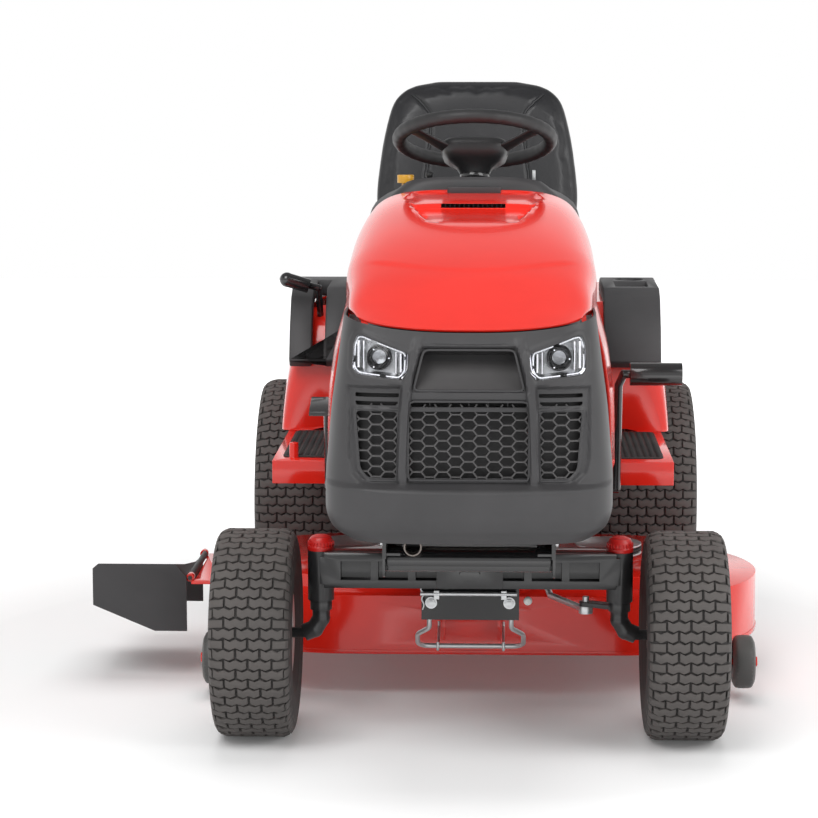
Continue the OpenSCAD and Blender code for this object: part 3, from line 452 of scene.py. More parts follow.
class MowerSizes(bpy.types.PropertyGroup):
    front_tread_rows: IntProperty(
        name="Front Tread Rows", description="Rows of blocks round a front tire", default=64, min=20)
    rear_tread_rows: IntProperty(
        name="Rear Tread Rows", description="Rows of blocks round a rear tire", default=84, min=20)
    tread_height: length_prop("Tread Height", "How far the tread blocks stand up", 5.5)
    comb_columns: length_prop("Honeycomb Column Pitch", "Between columns of grille cells", 21.9)
    comb_rows: length_prop("Honeycomb Row Pitch", "Between rows of grille cells", 17.7)
    comb_wall: length_prop("Honeycomb Wall", "Thickness of a grille cell's wall", 2.2)
    stitch_pitch: length_prop("Stitch Pitch", "Between stitches on the seat", 6.0)
    piping: length_prop("Piping", "Radius of the seat's piped seams", 2.6)
    mat_ribs: length_prop("Mat Rib Pitch", "Between the ribs of the footboard mats", 16.0)
    edge_round: length_prop("Edge Rounding", "Rounding of pressed steel edges", 1.6)


class MowerColours(bpy.types.PropertyGroup):
    body_red: colour_prop("Body Red", "Hood, fender and deck paint", (0.76, 0.020, 0.010))
    charcoal: colour_prop("Charcoal", "Front and console plastic", (0.040, 0.039, 0.041))
    frame_black: colour_prop("Frame Black", "Gloss paint of the frame", (0.013, 0.013, 0.014))
    vinyl: colour_prop("Seat Vinyl", "Seat cover", (0.011, 0.011, 0.013))
    tire: colour_prop("Tire Rubber", "Tires", (0.090, 0.081, 0.077))
    rim: colour_prop("Wheel Rim", "Painted wheel rims", (0.50, 0.50, 0.49))
    grip: colour_prop("Knob Yellow", "Blade switch knob", (0.72, 0.36, 0.02))


# ---- materials ----


class Web:
    """Adds and links the nodes of one tree."""

    def __init__(self, tree):
        self.tree = tree

    def add(self, kind, inputs=None, **settings):
        node = self.tree.nodes.new(kind)
        for key, value in settings.items():
            setattr(node, key, value)
        self.fill(node, inputs or {})
        return node

    def fill(self, node, inputs):
        """Links or sets a node's inputs."""
        for key, value in inputs.items():
            if isinstance(value, bpy.types.NodeSocket):
                self.tree.links.new(value, node.inputs[key])
            else:
                node.inputs[key].default_value = value

    def group(self, name, inputs=None):
        return self.add("ShaderNodeGroup", inputs, node_tree=shared(name)).outputs

    def place(self):
        return self.add("ShaderNodeTexCoord").outputs["Object"]

    def math(self, operation, *values):
        return self.add("ShaderNodeMath", dict(enumerate(values)), operation=operation).outputs[0]

    def noise(self, vector, scale, detail=4, roughness=0.55):
        return self.add("ShaderNodeTexNoise", {
            "Vector": vector, "Scale": scale, "Detail": detail,
            "Roughness": roughness}).outputs["Fac"]

    def ramp(self, value, low, high, out_low=0.0, out_high=1.0):
        return self.add("ShaderNodeMapRange", {
            "Value": value, "From Min": low, "From Max": high, "To Min": out_low,
            "To Max": out_high}).outputs["Result"]

    def mix(self, factor, a, b):
        return self.add("ShaderNodeMix", {0: factor, 6: a, 7: b}, data_type="RGBA").outputs[2]


def group_tree(name, sockets, kind="ShaderNodeTree"):
    """An empty node group, what it is given and what it gives out."""
    tree = bpy.data.node_groups.new(name, kind)
    for way, label, socket, *default in sockets:
        made = tree.interface.new_socket(name=label, in_out=way, socket_type=socket)
        if default:
            made.default_value = default[0]
    web = Web(tree)
    return tree, web, web.add("NodeGroupInput").outputs, web.add("NodeGroupOutput").inputs


def fine_grain():
    """Moulded or cast grain: a height, with pits between rounded grains."""
    tree, web, given, out = group_tree("Fine Grain", [
        ("INPUT", "Grain Size", "NodeSocketFloat", 1.0), ("OUTPUT", "Height", "NodeSocketFloat")])
    place = web.place()
    scale = web.math("DIVIDE", 1000.0, given[0])
    cells = web.add("ShaderNodeTexVoronoi", {"Vector": place, "Scale": scale},
                    feature="SMOOTH_F1").outputs["Distance"]
    tree.links.new(web.math("ADD", cells, web.noise(place, scale, 3)), out[0])
    return tree


def vinyl_grain():
    """Creased leather-like grain: a height, and a mask for its creases."""
    tree, web, given, out = group_tree("Vinyl Grain", [
        ("INPUT", "Grain Size", "NodeSocketFloat", 2.4), ("OUTPUT", "Height", "NodeSocketFloat"),
        ("OUTPUT", "Creases", "NodeSocketFloat")])
    place = web.place()
    scale = web.math("DIVIDE", 1000.0, given[0])
    wander = web.add("ShaderNodeTexNoise", {"Vector": place, "Scale": 160.0}).outputs["Color"]
    bend = web.add("ShaderNodeVectorMath", {0: (0.004, 0.004, 0.004), 1: wander, 2: place},
                   operation="MULTIPLY_ADD")
    edges = web.add("ShaderNodeTexVoronoi", {"Vector": bend.outputs[0], "Scale": scale},
                    feature="DISTANCE_TO_EDGE").outputs["Distance"]
    creases = web.ramp(edges, 0.0, 0.16, 1.0, 0.0)
    fine = web.noise(place, web.math("MULTIPLY", scale, 3.0), 3)
    tree.links.new(web.math("SUBTRACT", web.math("MULTIPLY", fine, 0.35), creases), out[0])
    tree.links.new(creases, out[1])
    return tree


def wear_and_dust():
    """Cloudy variation, dust lying on what faces up, and small scuffs."""
    tree, web, given, out = group_tree("Wear and Dust", [
        ("INPUT", "Dust", "NodeSocketFloat", 0.3), ("INPUT", "Scuffs", "NodeSocketFloat", 0.2),
        ("OUTPUT", "Clouds", "NodeSocketFloat"), ("OUTPUT", "Dust Mask", "NodeSocketFloat"),
        ("OUTPUT", "Scuff Mask", "NodeSocketFloat")])
    place = web.place()
    up = web.add("ShaderNodeSeparateXYZ", {
        0: web.add("ShaderNodeNewGeometry").outputs["Normal"]}).outputs["Z"]
    clouds = web.noise(place, 7.0, 5, 0.6)
    speck = web.ramp(web.noise(place, 240.0, 2), 0.42, 0.72)
    lying = web.math("MULTIPLY", web.ramp(up, 0.1, 0.95, 0.15, 1.0), web.ramp(clouds, 0.35, 0.7))
    dust = web.math("MULTIPLY", web.math("MULTIPLY", lying, web.ramp(speck, 0, 1, 0.45, 1.0)),
                    given["Dust"])
    stretched = web.add("ShaderNodeMapping", {
        "Vector": place, "Scale": (9.0, 30.0, 70.0)}).outputs[0]
    scuff = web.math("MULTIPLY", web.ramp(web.noise(stretched, 3.0, 6, 0.7), 0.60, 0.72),
                     given["Scuffs"])
    for index, value in enumerate((clouds, dust, scuff)):
        tree.links.new(value, out[index])
    return tree


def brushed_metal():
    """Drawn or turned metal's fine lines: a value for roughness and bump."""
    tree, web, given, out = group_tree("Brushed Metal", [
        ("INPUT", "Stretch", "NodeSocketFloat", 30.0), ("OUTPUT", "Lines", "NodeSocketFloat")])
    place = web.place()
    scale = web.add("ShaderNodeCombineXYZ", {
        "X": 20.0, "Y": 600.0, "Z": web.math("MULTIPLY", given[0], 20.0)})
    lines = web.add("ShaderNodeMapping", {"Vector": place, "Scale": scale.outputs[0]}).outputs[0]
    tree.links.new(web.noise(lines, 1.0, 3, 0.6), out[0])
    return tree


SHADER_GROUPS = {"Fine Grain": fine_grain, "Vinyl Grain": vinyl_grain,
                 "Wear and Dust": wear_and_dust, "Brushed Metal": brushed_metal}


def shared(name):
    return bpy.data.node_groups.get(name) or SHADER_GROUPS[name]()


# colour, roughness, metallic, coat, grain size in mm, grain depth in mm, dust, scuffs
FINISHES = {
    "red gloss": ("body_red", 0.15, 0.0, 0.3, 9.0, 0.002, 0.012, 0.0),
    "charcoal plastic": ("charcoal", 0.50, 0.0, 0.0, 0.9, 0.035, 0.08, 0.12),
    "black plastic": ((0.014, 0.014, 0.015), 0.42, 0.0, 0.0, 0.8, 0.030, 0.07, 0.10),
    # darker than the charcoal plastic: painted shade for the insides of the hood slot, the louvres,
    # the grille and the exhaust tip
    "painted shade plastic": ((0.022, 0.021, 0.022), 0.60, 0.0, 0.0, 0.8, 0.04, 0.05, 0.0),
    "comb plastic": ((0.075, 0.072, 0.073), 0.50, 0.0, 0.0, 0.8, 0.02, 0.10, 0.0),
    "frame black": ("frame_black", 0.20, 0.0, 0.5, 6.0, 0.010, 0.05, 0.10),
    "cast black": ((0.014, 0.014, 0.015), 0.34, 0.0, 0.3, 1.8, 0.16, 0.08, 0.15),
    "engine black": ((0.020, 0.020, 0.021), 0.55, 0.1, 0.0, 1.3, 0.10, 0.30, 0.20),
    "cast aluminium": ((0.42, 0.42, 0.42), 0.42, 1.0, 0.0, 1.2, 0.10, 0.30, 0.30),
    "exhaust steel": ((0.26, 0.23, 0.21), 0.50, 0.85, 0.0, 1.5, 0.06, 0.25, 0.60),
    "zinc": ((0.66, 0.66, 0.64), 0.30, 1.0, 0.0, 1.5, 0.020, 0.10, 0.25),
    "chrome": ((0.86, 0.86, 0.87), 0.07, 1.0, 0.0, 4.0, 0.002, 0.02, 0.0),
    "rim paint": ("rim", 0.34, 0.35, 0.4, 3.0, 0.012, 0.20, 0.20),
    # tread blocks and carcass are one rubber: the carcass's darker copy is painted shade in the
    # grooves between the blocks, and it covers the sidewalls too
    "tread rubber": ("tire", 0.72, 0.0, 0.0, 1.1, 0.06, 0.25, 0.30),
    "shaded tire rubber": ((0.034, 0.031, 0.030), 0.70, 0.0, 0.0, 1.1, 0.06, 0.30, 0.20),
    "belt rubber": ((0.018, 0.018, 0.018), 0.70, 0.0, 0.0, 1.0, 0.06, 0.30, 0.0),
    "mat rubber": ((0.020, 0.020, 0.021), 0.66, 0.0, 0.0, 0.9, 0.05, 0.35, 0.20),
    "grip foam": ((0.018, 0.018, 0.019), 0.50, 0.0, 0.0, 1.2, 0.06, 0.12, 0.0),
    "roller plastic": ((0.070, 0.068, 0.066), 0.45, 0.0, 0.0, 0.8, 0.03, 0.30, 0.50),
    "tank plastic": ((0.55, 0.54, 0.50), 0.42, 0.0, 0.0, 1.5, 0.03, 0.20, 0.10),
    "knob yellow": ("grip", 0.34, 0.0, 0.2, 1.0, 0.015, 0.10, 0.10),
    "cap red": ((0.55, 0.010, 0.008), 0.38, 0.0, 0.1, 1.0, 0.02, 0.15, 0.10),
    "white plastic": ((0.78, 0.78, 0.76), 0.40, 0.0, 0.0, 1.0, 0.02, 0.10, 0.10),
    "seat thread": ((0.030, 0.030, 0.033), 0.60, 0.0, 0.0, 0.5, 0.05, 0.05, 0.0),
    "battery case": ((0.030, 0.030, 0.032), 0.40, 0.0, 0.0, 1.0, 0.03, 0.20, 0.10),
}


def rgba(colour):
    if isinstance(colour, str):
        colour = getattr(bpy.context.scene.mower_colours, colour)
    return (*colour, 1.0)


def finish_of(name):
    """The named finish, made the first time that it is asked for."""
    known = bpy.data.materials.get(name)
    if known:
        return known
    material = bpy.data.materials.new(name)
    material.use_nodes = True
    web = Web(material.node_tree)
    skin = material.node_tree.nodes["Principled BSDF"]
    if name in SPECIAL_FINISHES:
        SPECIAL_FINISHES[name](web, skin)
        return material
    colour, rough, metal, coat, size, depth, dust, scuffs = FINISHES[name]
    base = np.array(rgba(colour))[:3]
    wear = web.group("Wear and Dust", {"Dust": dust, "Scuffs": scuffs})
    shift = 0.012 if coat else 0.05
    paint = web.mix(web.ramp(wear["Clouds"], 0.3, 0.7), (*base * (1 - 3 * shift), 1),
                    (*base * (1 + 3 * shift), 1))
    pale = (*base * 0.5 + np.array((0.17, 0.155, 0.135)) * 0.6, 1)
    paint = web.mix(wear["Dust Mask"], paint, pale)
    bright = (*np.minimum(base * 1.5 + 0.012, 0.95), 1)
    paint = web.mix(wear["Scuff Mask"], paint, bright)
    swing = 0.02 if coat else 0.10
    spread = web.math("MULTIPLY_ADD", wear["Clouds"], swing, rough - swing / 2)
    rougher = web.math("MULTIPLY_ADD", wear["Dust Mask"], 0.5, spread)
    height = web.group("Fine Grain", {"Grain Size": size})[0]
    if name in ("zinc", "cast aluminium", "rim paint", "exhaust steel"):
        height = web.math("ADD", height, web.group("Brushed Metal")[0])
    bump = web.add("ShaderNodeBump", {"Height": height, "Strength": 0.6, "Distance": depth * MM})
    web.fill(skin, {"Base Color": paint, "Metallic": metal, "Coat Weight": coat,
                    "Coat Roughness": 0.04, "Roughness": rougher, "Normal": bump.outputs[0]})
    return material


def lit_bar(web, skin):
    """Frosted white of a lamp that glows faintly."""
    glow = web.ramp(web.group("Fine Grain", {"Grain Size": 3.0})[0], 0.2, 1.2, 0.9, 1.0)
    tint = web.mix(glow, (0.6, 0.6, 0.62, 1), (0.95, 0.96, 1.0, 1))
    web.fill(skin, {"Base Color": tint, "Emission Color": tint, "Emission Strength": 0.35,
                    "Roughness": 0.25})


def clear_lens(web, skin):
    """Clear moulded lens with a faint ripple."""
    wear = web.group("Wear and Dust", {"Dust": 0.05})
    tint = web.mix(wear["Clouds"], (0.93, 0.94, 0.96, 1), (0.99, 0.99, 1.0, 1))
    web.fill(skin, {"Base Color": tint, "Transmission Weight": 1.0, "Roughness": 0.02,
                    "IOR": 1.25})


def seat_cover(web, skin):
    """Grained vinyl: rougher in its creases, with painted shade darkening them, and a soft shine on
    its crowns.
    """
    base = np.array(rgba("vinyl"))[:3]
    grain = web.group("Vinyl Grain", {"Grain Size": 2.6})
    wear = web.group("Wear and Dust", {"Dust": 0.05, "Scuffs": 0.05})
    cover = web.mix(web.ramp(wear["Clouds"], 0.3, 0.7), (*base * 0.85, 1), (*base * 1.3, 1))
    # painted shade: the grain's creases are darkened to 0.55 of the vinyl colour
    cover = web.mix(grain["Creases"], cover, (*base * 0.55, 1))
    cover = web.mix(wear["Dust Mask"], cover, (0.055, 0.052, 0.048, 1))
    bump = web.add("ShaderNodeBump", {"Height": grain["Height"], "Strength": 0.5,
                                      "Distance": 0.22 * MM})
    web.fill(skin, {"Base Color": cover, "Coat Weight": 0.12, "Coat Roughness": 0.25,
                    "Roughness": web.math("MULTIPLY_ADD", grain["Creases"], 0.22, 0.30),
                    "Normal": bump.outputs[0]})


SPECIAL_FINISHES = {"lamp lens": clear_lens, "led white": lit_bar, "seat vinyl": seat_cover}


# ---- repeated things ----


def repeating_tree(name, *sockets):
    """An empty tree that takes a geometry, its own sockets and a material."""
    return group_tree(name, [("INPUT", "Geometry", "NodeSocketGeometry"),
                             *[("INPUT", *socket) for socket in sockets],
                             ("INPUT", "Material", "NodeSocketMaterial"),
                             ("OUTPUT", "Geometry", "NodeSocketGeometry")], "GeometryNodeTree")


def finish_geometry(web, geometry, given, out):
    """Makes a tree's copies real and gives them their material."""
    real = web.add("GeometryNodeRealizeInstances", {"Geometry": geometry})
    faced = web.add("GeometryNodeSetMaterial", {"Geometry": real.outputs[0],
                                                "Material": given["Material"]})
    web.tree.links.new(faced.outputs[0], out[0])
    return web.tree


def round_array_tree():
    """Copies a shape round an axis through the centre."""
    _, web, given, out = repeating_tree(
        "Round Array", ("Count", "NodeSocketInt", 12), ("Axis", "NodeSocketVector", (1, 0, 0)),
        ("Centre", "NodeSocketVector", (0, 0, 0)))
    line = web.add("GeometryNodeMeshLine", {"Count": given["Count"],
                                            "Offset": (0, 0, 0)})
    turn = web.math("MULTIPLY", web.add("GeometryNodeInputIndex").outputs[0],
                    web.math("DIVIDE", 2 * math.pi, given["Count"]))
    rotate = web.add("FunctionNodeAxisAngleToRotation", {"Axis": given["Axis"],
                                                         "Angle": turn})
    placed = web.add("GeometryNodeInstanceOnPoints", {
        "Points": line.outputs[0], "Instance": given["Geometry"],
        "Rotation": rotate.outputs[0]})
    moved = web.add("GeometryNodeTransform", {"Geometry": placed.outputs[0],
                                              "Translation": given["Centre"]})
    return finish_geometry(web, moved.outputs[0], given, out)


def along_path_tree():
    """Sets small rounded bars along the edges of a path, pointing the way it runs."""
    _, web, given, out = repeating_tree(
        "Along Path", ("Spacing", "NodeSocketFloat", 0.006),
        ("Size", "NodeSocketVector", (0.001, 0.001, 0.004)))
    curve = web.add("GeometryNodeMeshToCurve", {"Mesh": given["Geometry"]})
    points = web.add("GeometryNodeCurveToPoints", {"Curve": curve.outputs[0],
                                                   "Length": given["Spacing"]},
                     mode="LENGTH")
    bar = web.add("GeometryNodeMeshUVSphere", {"Segments": 8, "Rings": 6, "Radius": 0.5})
    placed = web.add("GeometryNodeInstanceOnPoints", {
        "Points": points.outputs["Points"], "Instance": bar.outputs["Mesh"],
        "Rotation": points.outputs["Rotation"], "Scale": given["Size"]})
    return finish_geometry(web, placed.outputs[0], given, out)


def bolt_tree():
    """A washer and a six-sided head on each point, standing along its axis attribute."""
    tree, web, given, out = repeating_tree(
        "Bolts", ("Flats", "NodeSocketFloat", 0.013), ("Height", "NodeSocketFloat", 0.006),
        ("Washer", "NodeSocketFloat", 0.011))
    head = web.add("GeometryNodeMeshCylinder", {
        "Vertices": 6, "Radius": web.math("MULTIPLY", given["Flats"], 0.577),
        "Depth": given["Height"]})
    crown = web.add("GeometryNodeMeshCone", {
        "Vertices": 24, "Radius Top": web.math("MULTIPLY", given["Flats"], 0.32),
        "Radius Bottom": web.math("MULTIPLY", given["Flats"], 0.46), "Depth": 0.0012})
    washer = web.add("GeometryNodeMeshCylinder", {"Vertices": 24, "Depth": 0.0016,
                                                  "Radius": given["Washer"]})
    half = web.math("MULTIPLY", given["Height"], 0.5)

    def raised(mesh, height):
        rise = web.add("ShaderNodeCombineXYZ", {"Z": height})
        return web.add("GeometryNodeTransform", {"Geometry": mesh, "Translation": rise.outputs[0]})

    join = web.add("GeometryNodeJoinGeometry")
    top = web.math("ADD", given["Height"], -0.0001)
    for part in (raised(head.outputs[0], half), raised(crown.outputs[0], top), washer):
        tree.links.new(part.outputs[0], join.inputs[0])
    axis = web.add("GeometryNodeInputNamedAttribute", {"Name": "axis"}, data_type="FLOAT_VECTOR")
    rotate = web.add("FunctionNodeAlignRotationToVector", {"Vector": axis.outputs[0]}, axis="Z")
    placed = web.add("GeometryNodeInstanceOnPoints", {
        "Points": given["Geometry"], "Instance": join.outputs[0],
        "Rotation": rotate.outputs[0]})
    return finish_geometry(web, placed.outputs[0], given, out)


def comb_tree():
    """A sheet of long six-sided cells in the XZ plane, their walls standing along Y."""
    tree, web, given, out = repeating_tree(
        "Honeycomb", ("Columns", "NodeSocketInt", 9), ("Rows", "NodeSocketInt", 7),
        ("Column Pitch", "NodeSocketFloat", 0.0219), ("Row Pitch", "NodeSocketFloat", 0.0177),
        ("Wall", "NodeSocketFloat", 0.0022), ("Depth", "NodeSocketFloat", 0.009))
    columns, rows = given["Columns"], given["Rows"]
    across, up = given["Column Pitch"], given["Row Pitch"]
    line = web.add("GeometryNodeMeshLine", {"Count": web.math("MULTIPLY", columns, rows),
                                            "Offset": (0, 0, 0)})
    index = web.add("GeometryNodeInputIndex").outputs[0]
    column = web.math("FLOOR", web.math("DIVIDE", index, rows))
    row = web.math("SUBTRACT", index, web.math("MULTIPLY", column, rows))
    odd = web.math("MODULO", column, 2.0)
    middle_c = web.math("MULTIPLY", web.math("SUBTRACT", columns, 1.0), 0.5)
    middle_r = web.math("MULTIPLY", web.math("SUBTRACT", rows, 1.0), 0.5)
    x = web.math("MULTIPLY", web.math("SUBTRACT", column, middle_c), across)
    shifted = web.math("ADD", row, web.math("MULTIPLY", odd, 0.5))
    z = web.math("MULTIPLY", web.math("SUBTRACT", shifted, middle_r), up)
    place = web.add("ShaderNodeCombineXYZ", {"X": x, "Z": z})
    points = web.add("GeometryNodeSetPosition", {"Geometry": line.outputs[0],
                                                 "Position": place.outputs[0]})
    wall = web.add("GeometryNodeMeshCube", {"Size": (1, 1, 1)})

    def side(sx, sz, turn):
        """One wall of a cell at its share of the pitches."""
        spot = web.add("ShaderNodeCombineXYZ", {"X": web.math("MULTIPLY", across, sx),
                                                "Z": web.math("MULTIPLY", up, sz)})
        long = web.math("MULTIPLY", across, 0.64 if turn == 0 else 0.50)
        size = web.add("ShaderNodeCombineXYZ", {"X": long, "Y": given["Depth"],
                                                "Z": given["Wall"]})
        return web.add("GeometryNodeTransform", {
            "Geometry": wall.outputs[0], "Translation": spot.outputs[0],
            "Rotation": (0, turn, 0), "Scale": size.outputs[0]}).outputs[0]

    join = web.add("GeometryNodeJoinGeometry")
    lean = math.radians(51)
    for part in (side(0, 0.5, 0.0), side(0.5, 0.25, lean), side(0.5, -0.25, -lean)):
        tree.links.new(part, join.inputs[0])
    placed = web.add("GeometryNodeInstanceOnPoints", {"Points": points.outputs[0],
                                                      "Instance": join.outputs[0]})
    return finish_geometry(web, placed.outputs[0], given, out)


GEOMETRY_TREES = {"Round Array": round_array_tree, "Along Path": along_path_tree,
                  "Bolts": bolt_tree, "Honeycomb": comb_tree}


def repeat(obj, tree_name, finish, **inputs):
    """Runs a repeating tree on an object and keeps the plain result."""
    tree = bpy.data.node_groups.get(tree_name) or GEOMETRY_TREES[tree_name]()
    modifier = obj.modifiers.new(tree_name, "NODES")
    modifier.node_group = tree
    inputs["Material"] = finish_of(finish)
    for item in tree.interface.items_tree:
        if item.in_out == "INPUT" and item.name in inputs:
            modifier[item.identifier] = inputs[item.name]
    plain(obj)
    return obj


def path_object(name, lines):
    """A mesh of edges only, one chain for each line of points."""
    points, edges = [], []
    for line in lines:
        start = len(points)
        points += to_row(line).tolist()
        edges += [(start + i, start + i + 1) for i in range(len(line) - 1)]
    mesh = bpy.data.meshes.new(name)
    mesh.from_pydata(points, edges, [])
    obj = new_object(name, mesh)
    return obj


def bars_along(name, lines, spacing, size, finish, body):
    """Small bars set along lines of points."""
    obj = repeat(path_object(name, lines), "Along Path", finish, Spacing=spacing * MM,
                 Size=Vector(size) * MM)
    return settle(obj, body, smooth=60)


def bolts(name, spots, body, flats, height, washer):
    """Zinc bolt heads at (point, axis) spots."""
    mesh = bpy.data.meshes.new(name)
    mesh.from_pydata(to_row([s[0] for s in spots]).tolist(), [], [])
    axes = mesh.attributes.new("axis", "FLOAT_VECTOR", "POINT")
    axes.data.foreach_set("vector", np.ravel([s[1] for s in spots]).astype(float))
    obj = new_object(name, mesh)
    repeat(obj, "Bolts", "zinc", Flats=flats * MM, Height=height * MM, Washer=washer * MM)
    return settle(obj, body, smooth=30)


def round_array(name, shape, count, centre, axis, finish, body, bevel=0):
    """A shape modelled round the origin, repeated round an axis through a centre."""
    obj = mesh_object(name, shape, in_row=False)
    if bevel:
        add_bevel(obj, bevel, 2)
        plain(obj)
    repeat(obj, "Round Array", finish, Count=count, Axis=Vector(axis),
           Centre=Vector(to_row([centre])[0]))
    return settle(obj, body)


# ---- hood ----

# along, half width, shoulder height, top height, corner, crown, sweep, rise
LID = np.array([
    (520, 220, 800, 973, 0.476, 0, 0, 0), (400, 225, 800, 958, 0.46, 4, 0, 0),
    (250, 229, 797, 930, 0.44, 8, 0, 0), (100, 229, 793, 896, 0.42, 10, 0, 0),
    (-59, 217, 790, 853, 0.40, 10, 0, 0), (-180, 211, 783, 812, 0.36, 4, 60, 6),
    (-266, 196, 772, 778, 0.34, 0, 110, 20)], float)
SCOOP = [(118, 512), (134, 440), (106, 300), (90, 215), (52, 184), (0, 175),
         (-52, 184), (-90, 215), (-106, 300), (-134, 440), (-118, 512)]


def even_arc(points, count):
    """The same line with its points evenly spaced."""
    steps = np.concatenate([[0], np.cumsum(np.linalg.norm(np.diff(points, axis=0), axis=1))])
    at = np.linspace(0, steps[-1], count)
    return np.stack([np.interp(at, steps, points[:, k]) for k in range(points.shape[1])], 1)


def lid_row(y, count=97):
    """One line of the lid from its right shoulder over to its left."""
    values = [read_curve(LID, k, y) for k in range(1, 8)]
    half, low, top, corner, crown, sweep, rise = values
    a = np.linspace(math.pi, 0, 700)
    c, s = np.cos(a), np.sin(a).clip(1e-9)
    p0, p1 = squared(c, corner), s ** corner
    x = p0 * half
    z = low + (top - low) * p1 + crown * (1 - p0 ** 2) * p1 + rise * np.abs(p0) ** 2.5
    return even_arc(np.stack([x, y + sweep * (1 - p1), z], 1), count)


def lid_detail(rows):
    """Sinks the scoop into the lid and presses the soft line across its nose."""
    x, y = rows[..., 0], rows[..., 1]
    inside = soft_step(2, -10, outline_distance(SCOOP, x, y))
    bowl = np.where(y < 366, 13 * soft_step(172, 350, y), 13 - 8.5 * soft_step(366, 374, y))
    rows[..., 2] -= inside * bowl
    line = y + 62 - 0.0022 * x ** 2
    rows[..., 2] -= 1.6 * soft_step(10, -10, line) * soft_step(205, 150, np.abs(x))
    return rows


def skirt_width(y, heights):
    """Half the hood's width at heights below its shoulder."""
    share = 1 - 0.62 * soft_step(60, 520, y)
    return read_curve(LID, 1, y) + share * smooth_curve([500, 600, 700, 790], [36, 34, 23, 0],
                                                        heights)


def skirt_rows(ys, side):
    """The lid's side panels from the shoulder down."""
    heights = np.concatenate([np.linspace(786, 540, 32), np.linspace(532, 500, 6)])
    rows = []
    for y in ys:
        shoulder = read_curve(LID, 2, y)
        low = 500 + 20 * soft_step(380, 520, y)
        z = shoulder + (low - shoulder) * (790 - heights) / 290
        rows.append(np.stack([side * skirt_width(y, heights), np.full_like(z, y), z], 1))
    return np.array(rows)


def hood_shell():
    """The hood's outer skin: lid, scoop, nose and both sides."""
    rear = np.concatenate([np.linspace(520, 380, 36), np.linspace(377, 362, 8),
                           np.linspace(356, -52, 60), [-57.0]])
    nose = np.concatenate([[-57.0], np.linspace(-64, -258, 38), [-263, -266.0]])
    shape = Shape()
    back_lid = np.array([lid_row(y) for y in rear])
    shape.add(*grid(lid_detail(back_lid)))
    shape.add(*grid(lid_detail(np.array([lid_row(y) for y in nose]))))
    for side in (-1, 1):
        edge = back_lid[:, 0 if side < 0 else -1][:, None]
        shape.add(*grid(np.concatenate([edge, skirt_rows(rear, side)], 1)))
    return shape


class MOWER_OT_hood(bpy.types.Operator):
    """Builds the hood: pressed lid, flared sides, scoop with its slot, and rear latch"""
    bl_idname = "mower.hood"
    bl_label = "Hood"

    def execute(self, context):
        hood = mesh_object("hood_shell", hood_shell(), "red gloss")
        modify(hood, "SOLIDIFY", thickness=4 * MM, offset=-1, use_even_offset=True)
        plain(hood)
        slot_at = lid_row(370.0)[48][2]
        cut(hood, Shape(brick((-62, 363, slot_at - 12.5), (62, 420, slot_at - 4.5))))
        add_bevel(hood, 1.0, 2, 55)
        settle(hood, "hood", ["hood"], 32)
        tray = rounded_box(-66, 366, 66, 424, 6, 4)
        # the tray under the slot is darkened as painted shade
        make("hood_slot_liner", Shape(prism(tray, slot_at - 26, slot_at - 14)), "painted shade plastic",
             "hood", bevel=1.5)
        vanes = Shape()
        for x in np.linspace(-54, 54, 13):
            vanes.add(*brick((x - 0.8, 376, slot_at - 15), (x + 0.8, 410, slot_at - 4.6)))
        make("hood_slot_vanes", vanes, "black plastic", "hood", bevel=0.4)
        rear = lid_row(514.0)[48][2]
        latch = fillet([(-54, 500), (54, 500), (50, 521), (-50, 521)], 7, 5, True)
        make("hood_latch", Shape(prism(latch, rear - 8, rear + 7)), "charcoal plastic", "hood",
             bevel=2.0)
        ribs = Shape(*[brick((x - 1, 502, rear + 6.5), (x + 1, 516, rear + 8))
                       for x in np.linspace(-30, 30, 13)])
        make("hood_latch_ribs", ribs, "charcoal plastic", "hood", bevel=0.5)
        vents, slots = Shape(), Shape()
        for k in range(6):
            y0 = 150 + 30 * k
            for side in (-1, 1):
                rows = []
                for z in np.linspace(600, 690, 12):
                    wide = skirt_width(y0, z)
                    y = y0 + (z - 600) * 0.22
                    rows.append([(side * (wide - 1), y, z), (side * (wide + 3.2), y + 3, z),
                                 (side * (wide + 3.8), y + 7, z), (side * (wide - 1), y + 18, z)])
                vents.add(*loft(rows))
                slots.add(*grid([[(side * (wide_at + 0.7), y + d, z) for d in (-5.5, -0.5)]
                                 for wide_at, y, z in
                                 [(abs(r[0][0]) + 1, r[0][1], r[0][2]) for r in rows]]))
        make("hood_side_louvres", vents, "red gloss", "hood", bevel=0.8)
        # dark strips behind the louvres: painted shade in their openings
        make("hood_side_slots", slots, "painted shade plastic", "hood", wall=0.6)
        seal = [(side * (read_curve(LID, 1, -57) - 8), -57, z)
                for side, z in ((1, 760), (1, 640), (1, 520))]
        make("hood_side_seal", Shape(*both_sides(tube(fillet(seal, 20), 2.0, 10))),
             "belt rubber", "hood")
        return {"FINISHED"}


# ---- front fascia ----

# height, half width, front, corner rise
NOSE = np.array([
    (772, 219, 272, 24), (700, 229, 296, 18), (625, 240, 305, 13), (560, 246, 312, 8),
    (520, 250, 314, 0), (510, 250, 330, 0), (470, 250, 329, 0), (440, 243, 322, 0),
    (422, 226, 308, 0), (414, 213, 299, 0)], float)
FACE_BACK = -62
COMB_DEPTH = 15.5  # from the face to the middle of the honeycombs' walls
GRILLE = [(-101, 526), (101, 526), (101, 640), (98, 657), (-98, 657), (-101, 640)]
UPPER = [(-92, 677), (92, 677), (75, 743), (-75, 743)]
SIDE_PANEL = [(123, 527), (170, 527), (184, 543), (192, 640), (121, 640)]
SIDE_SLOTS = [[(121, 650), (192, 650), (193, 657), (120, 657)],
              [(119, 664), (193, 664), (193, 671), (118, 671)]]
LAMP = [(104, 706), (114, 694), (191, 703), (198, 713), (197, 753), (191, 767), (183, 767),
        (103, 738)]


def mirror(outline):
    return [(-x, z) for x, z in reversed(outline)]


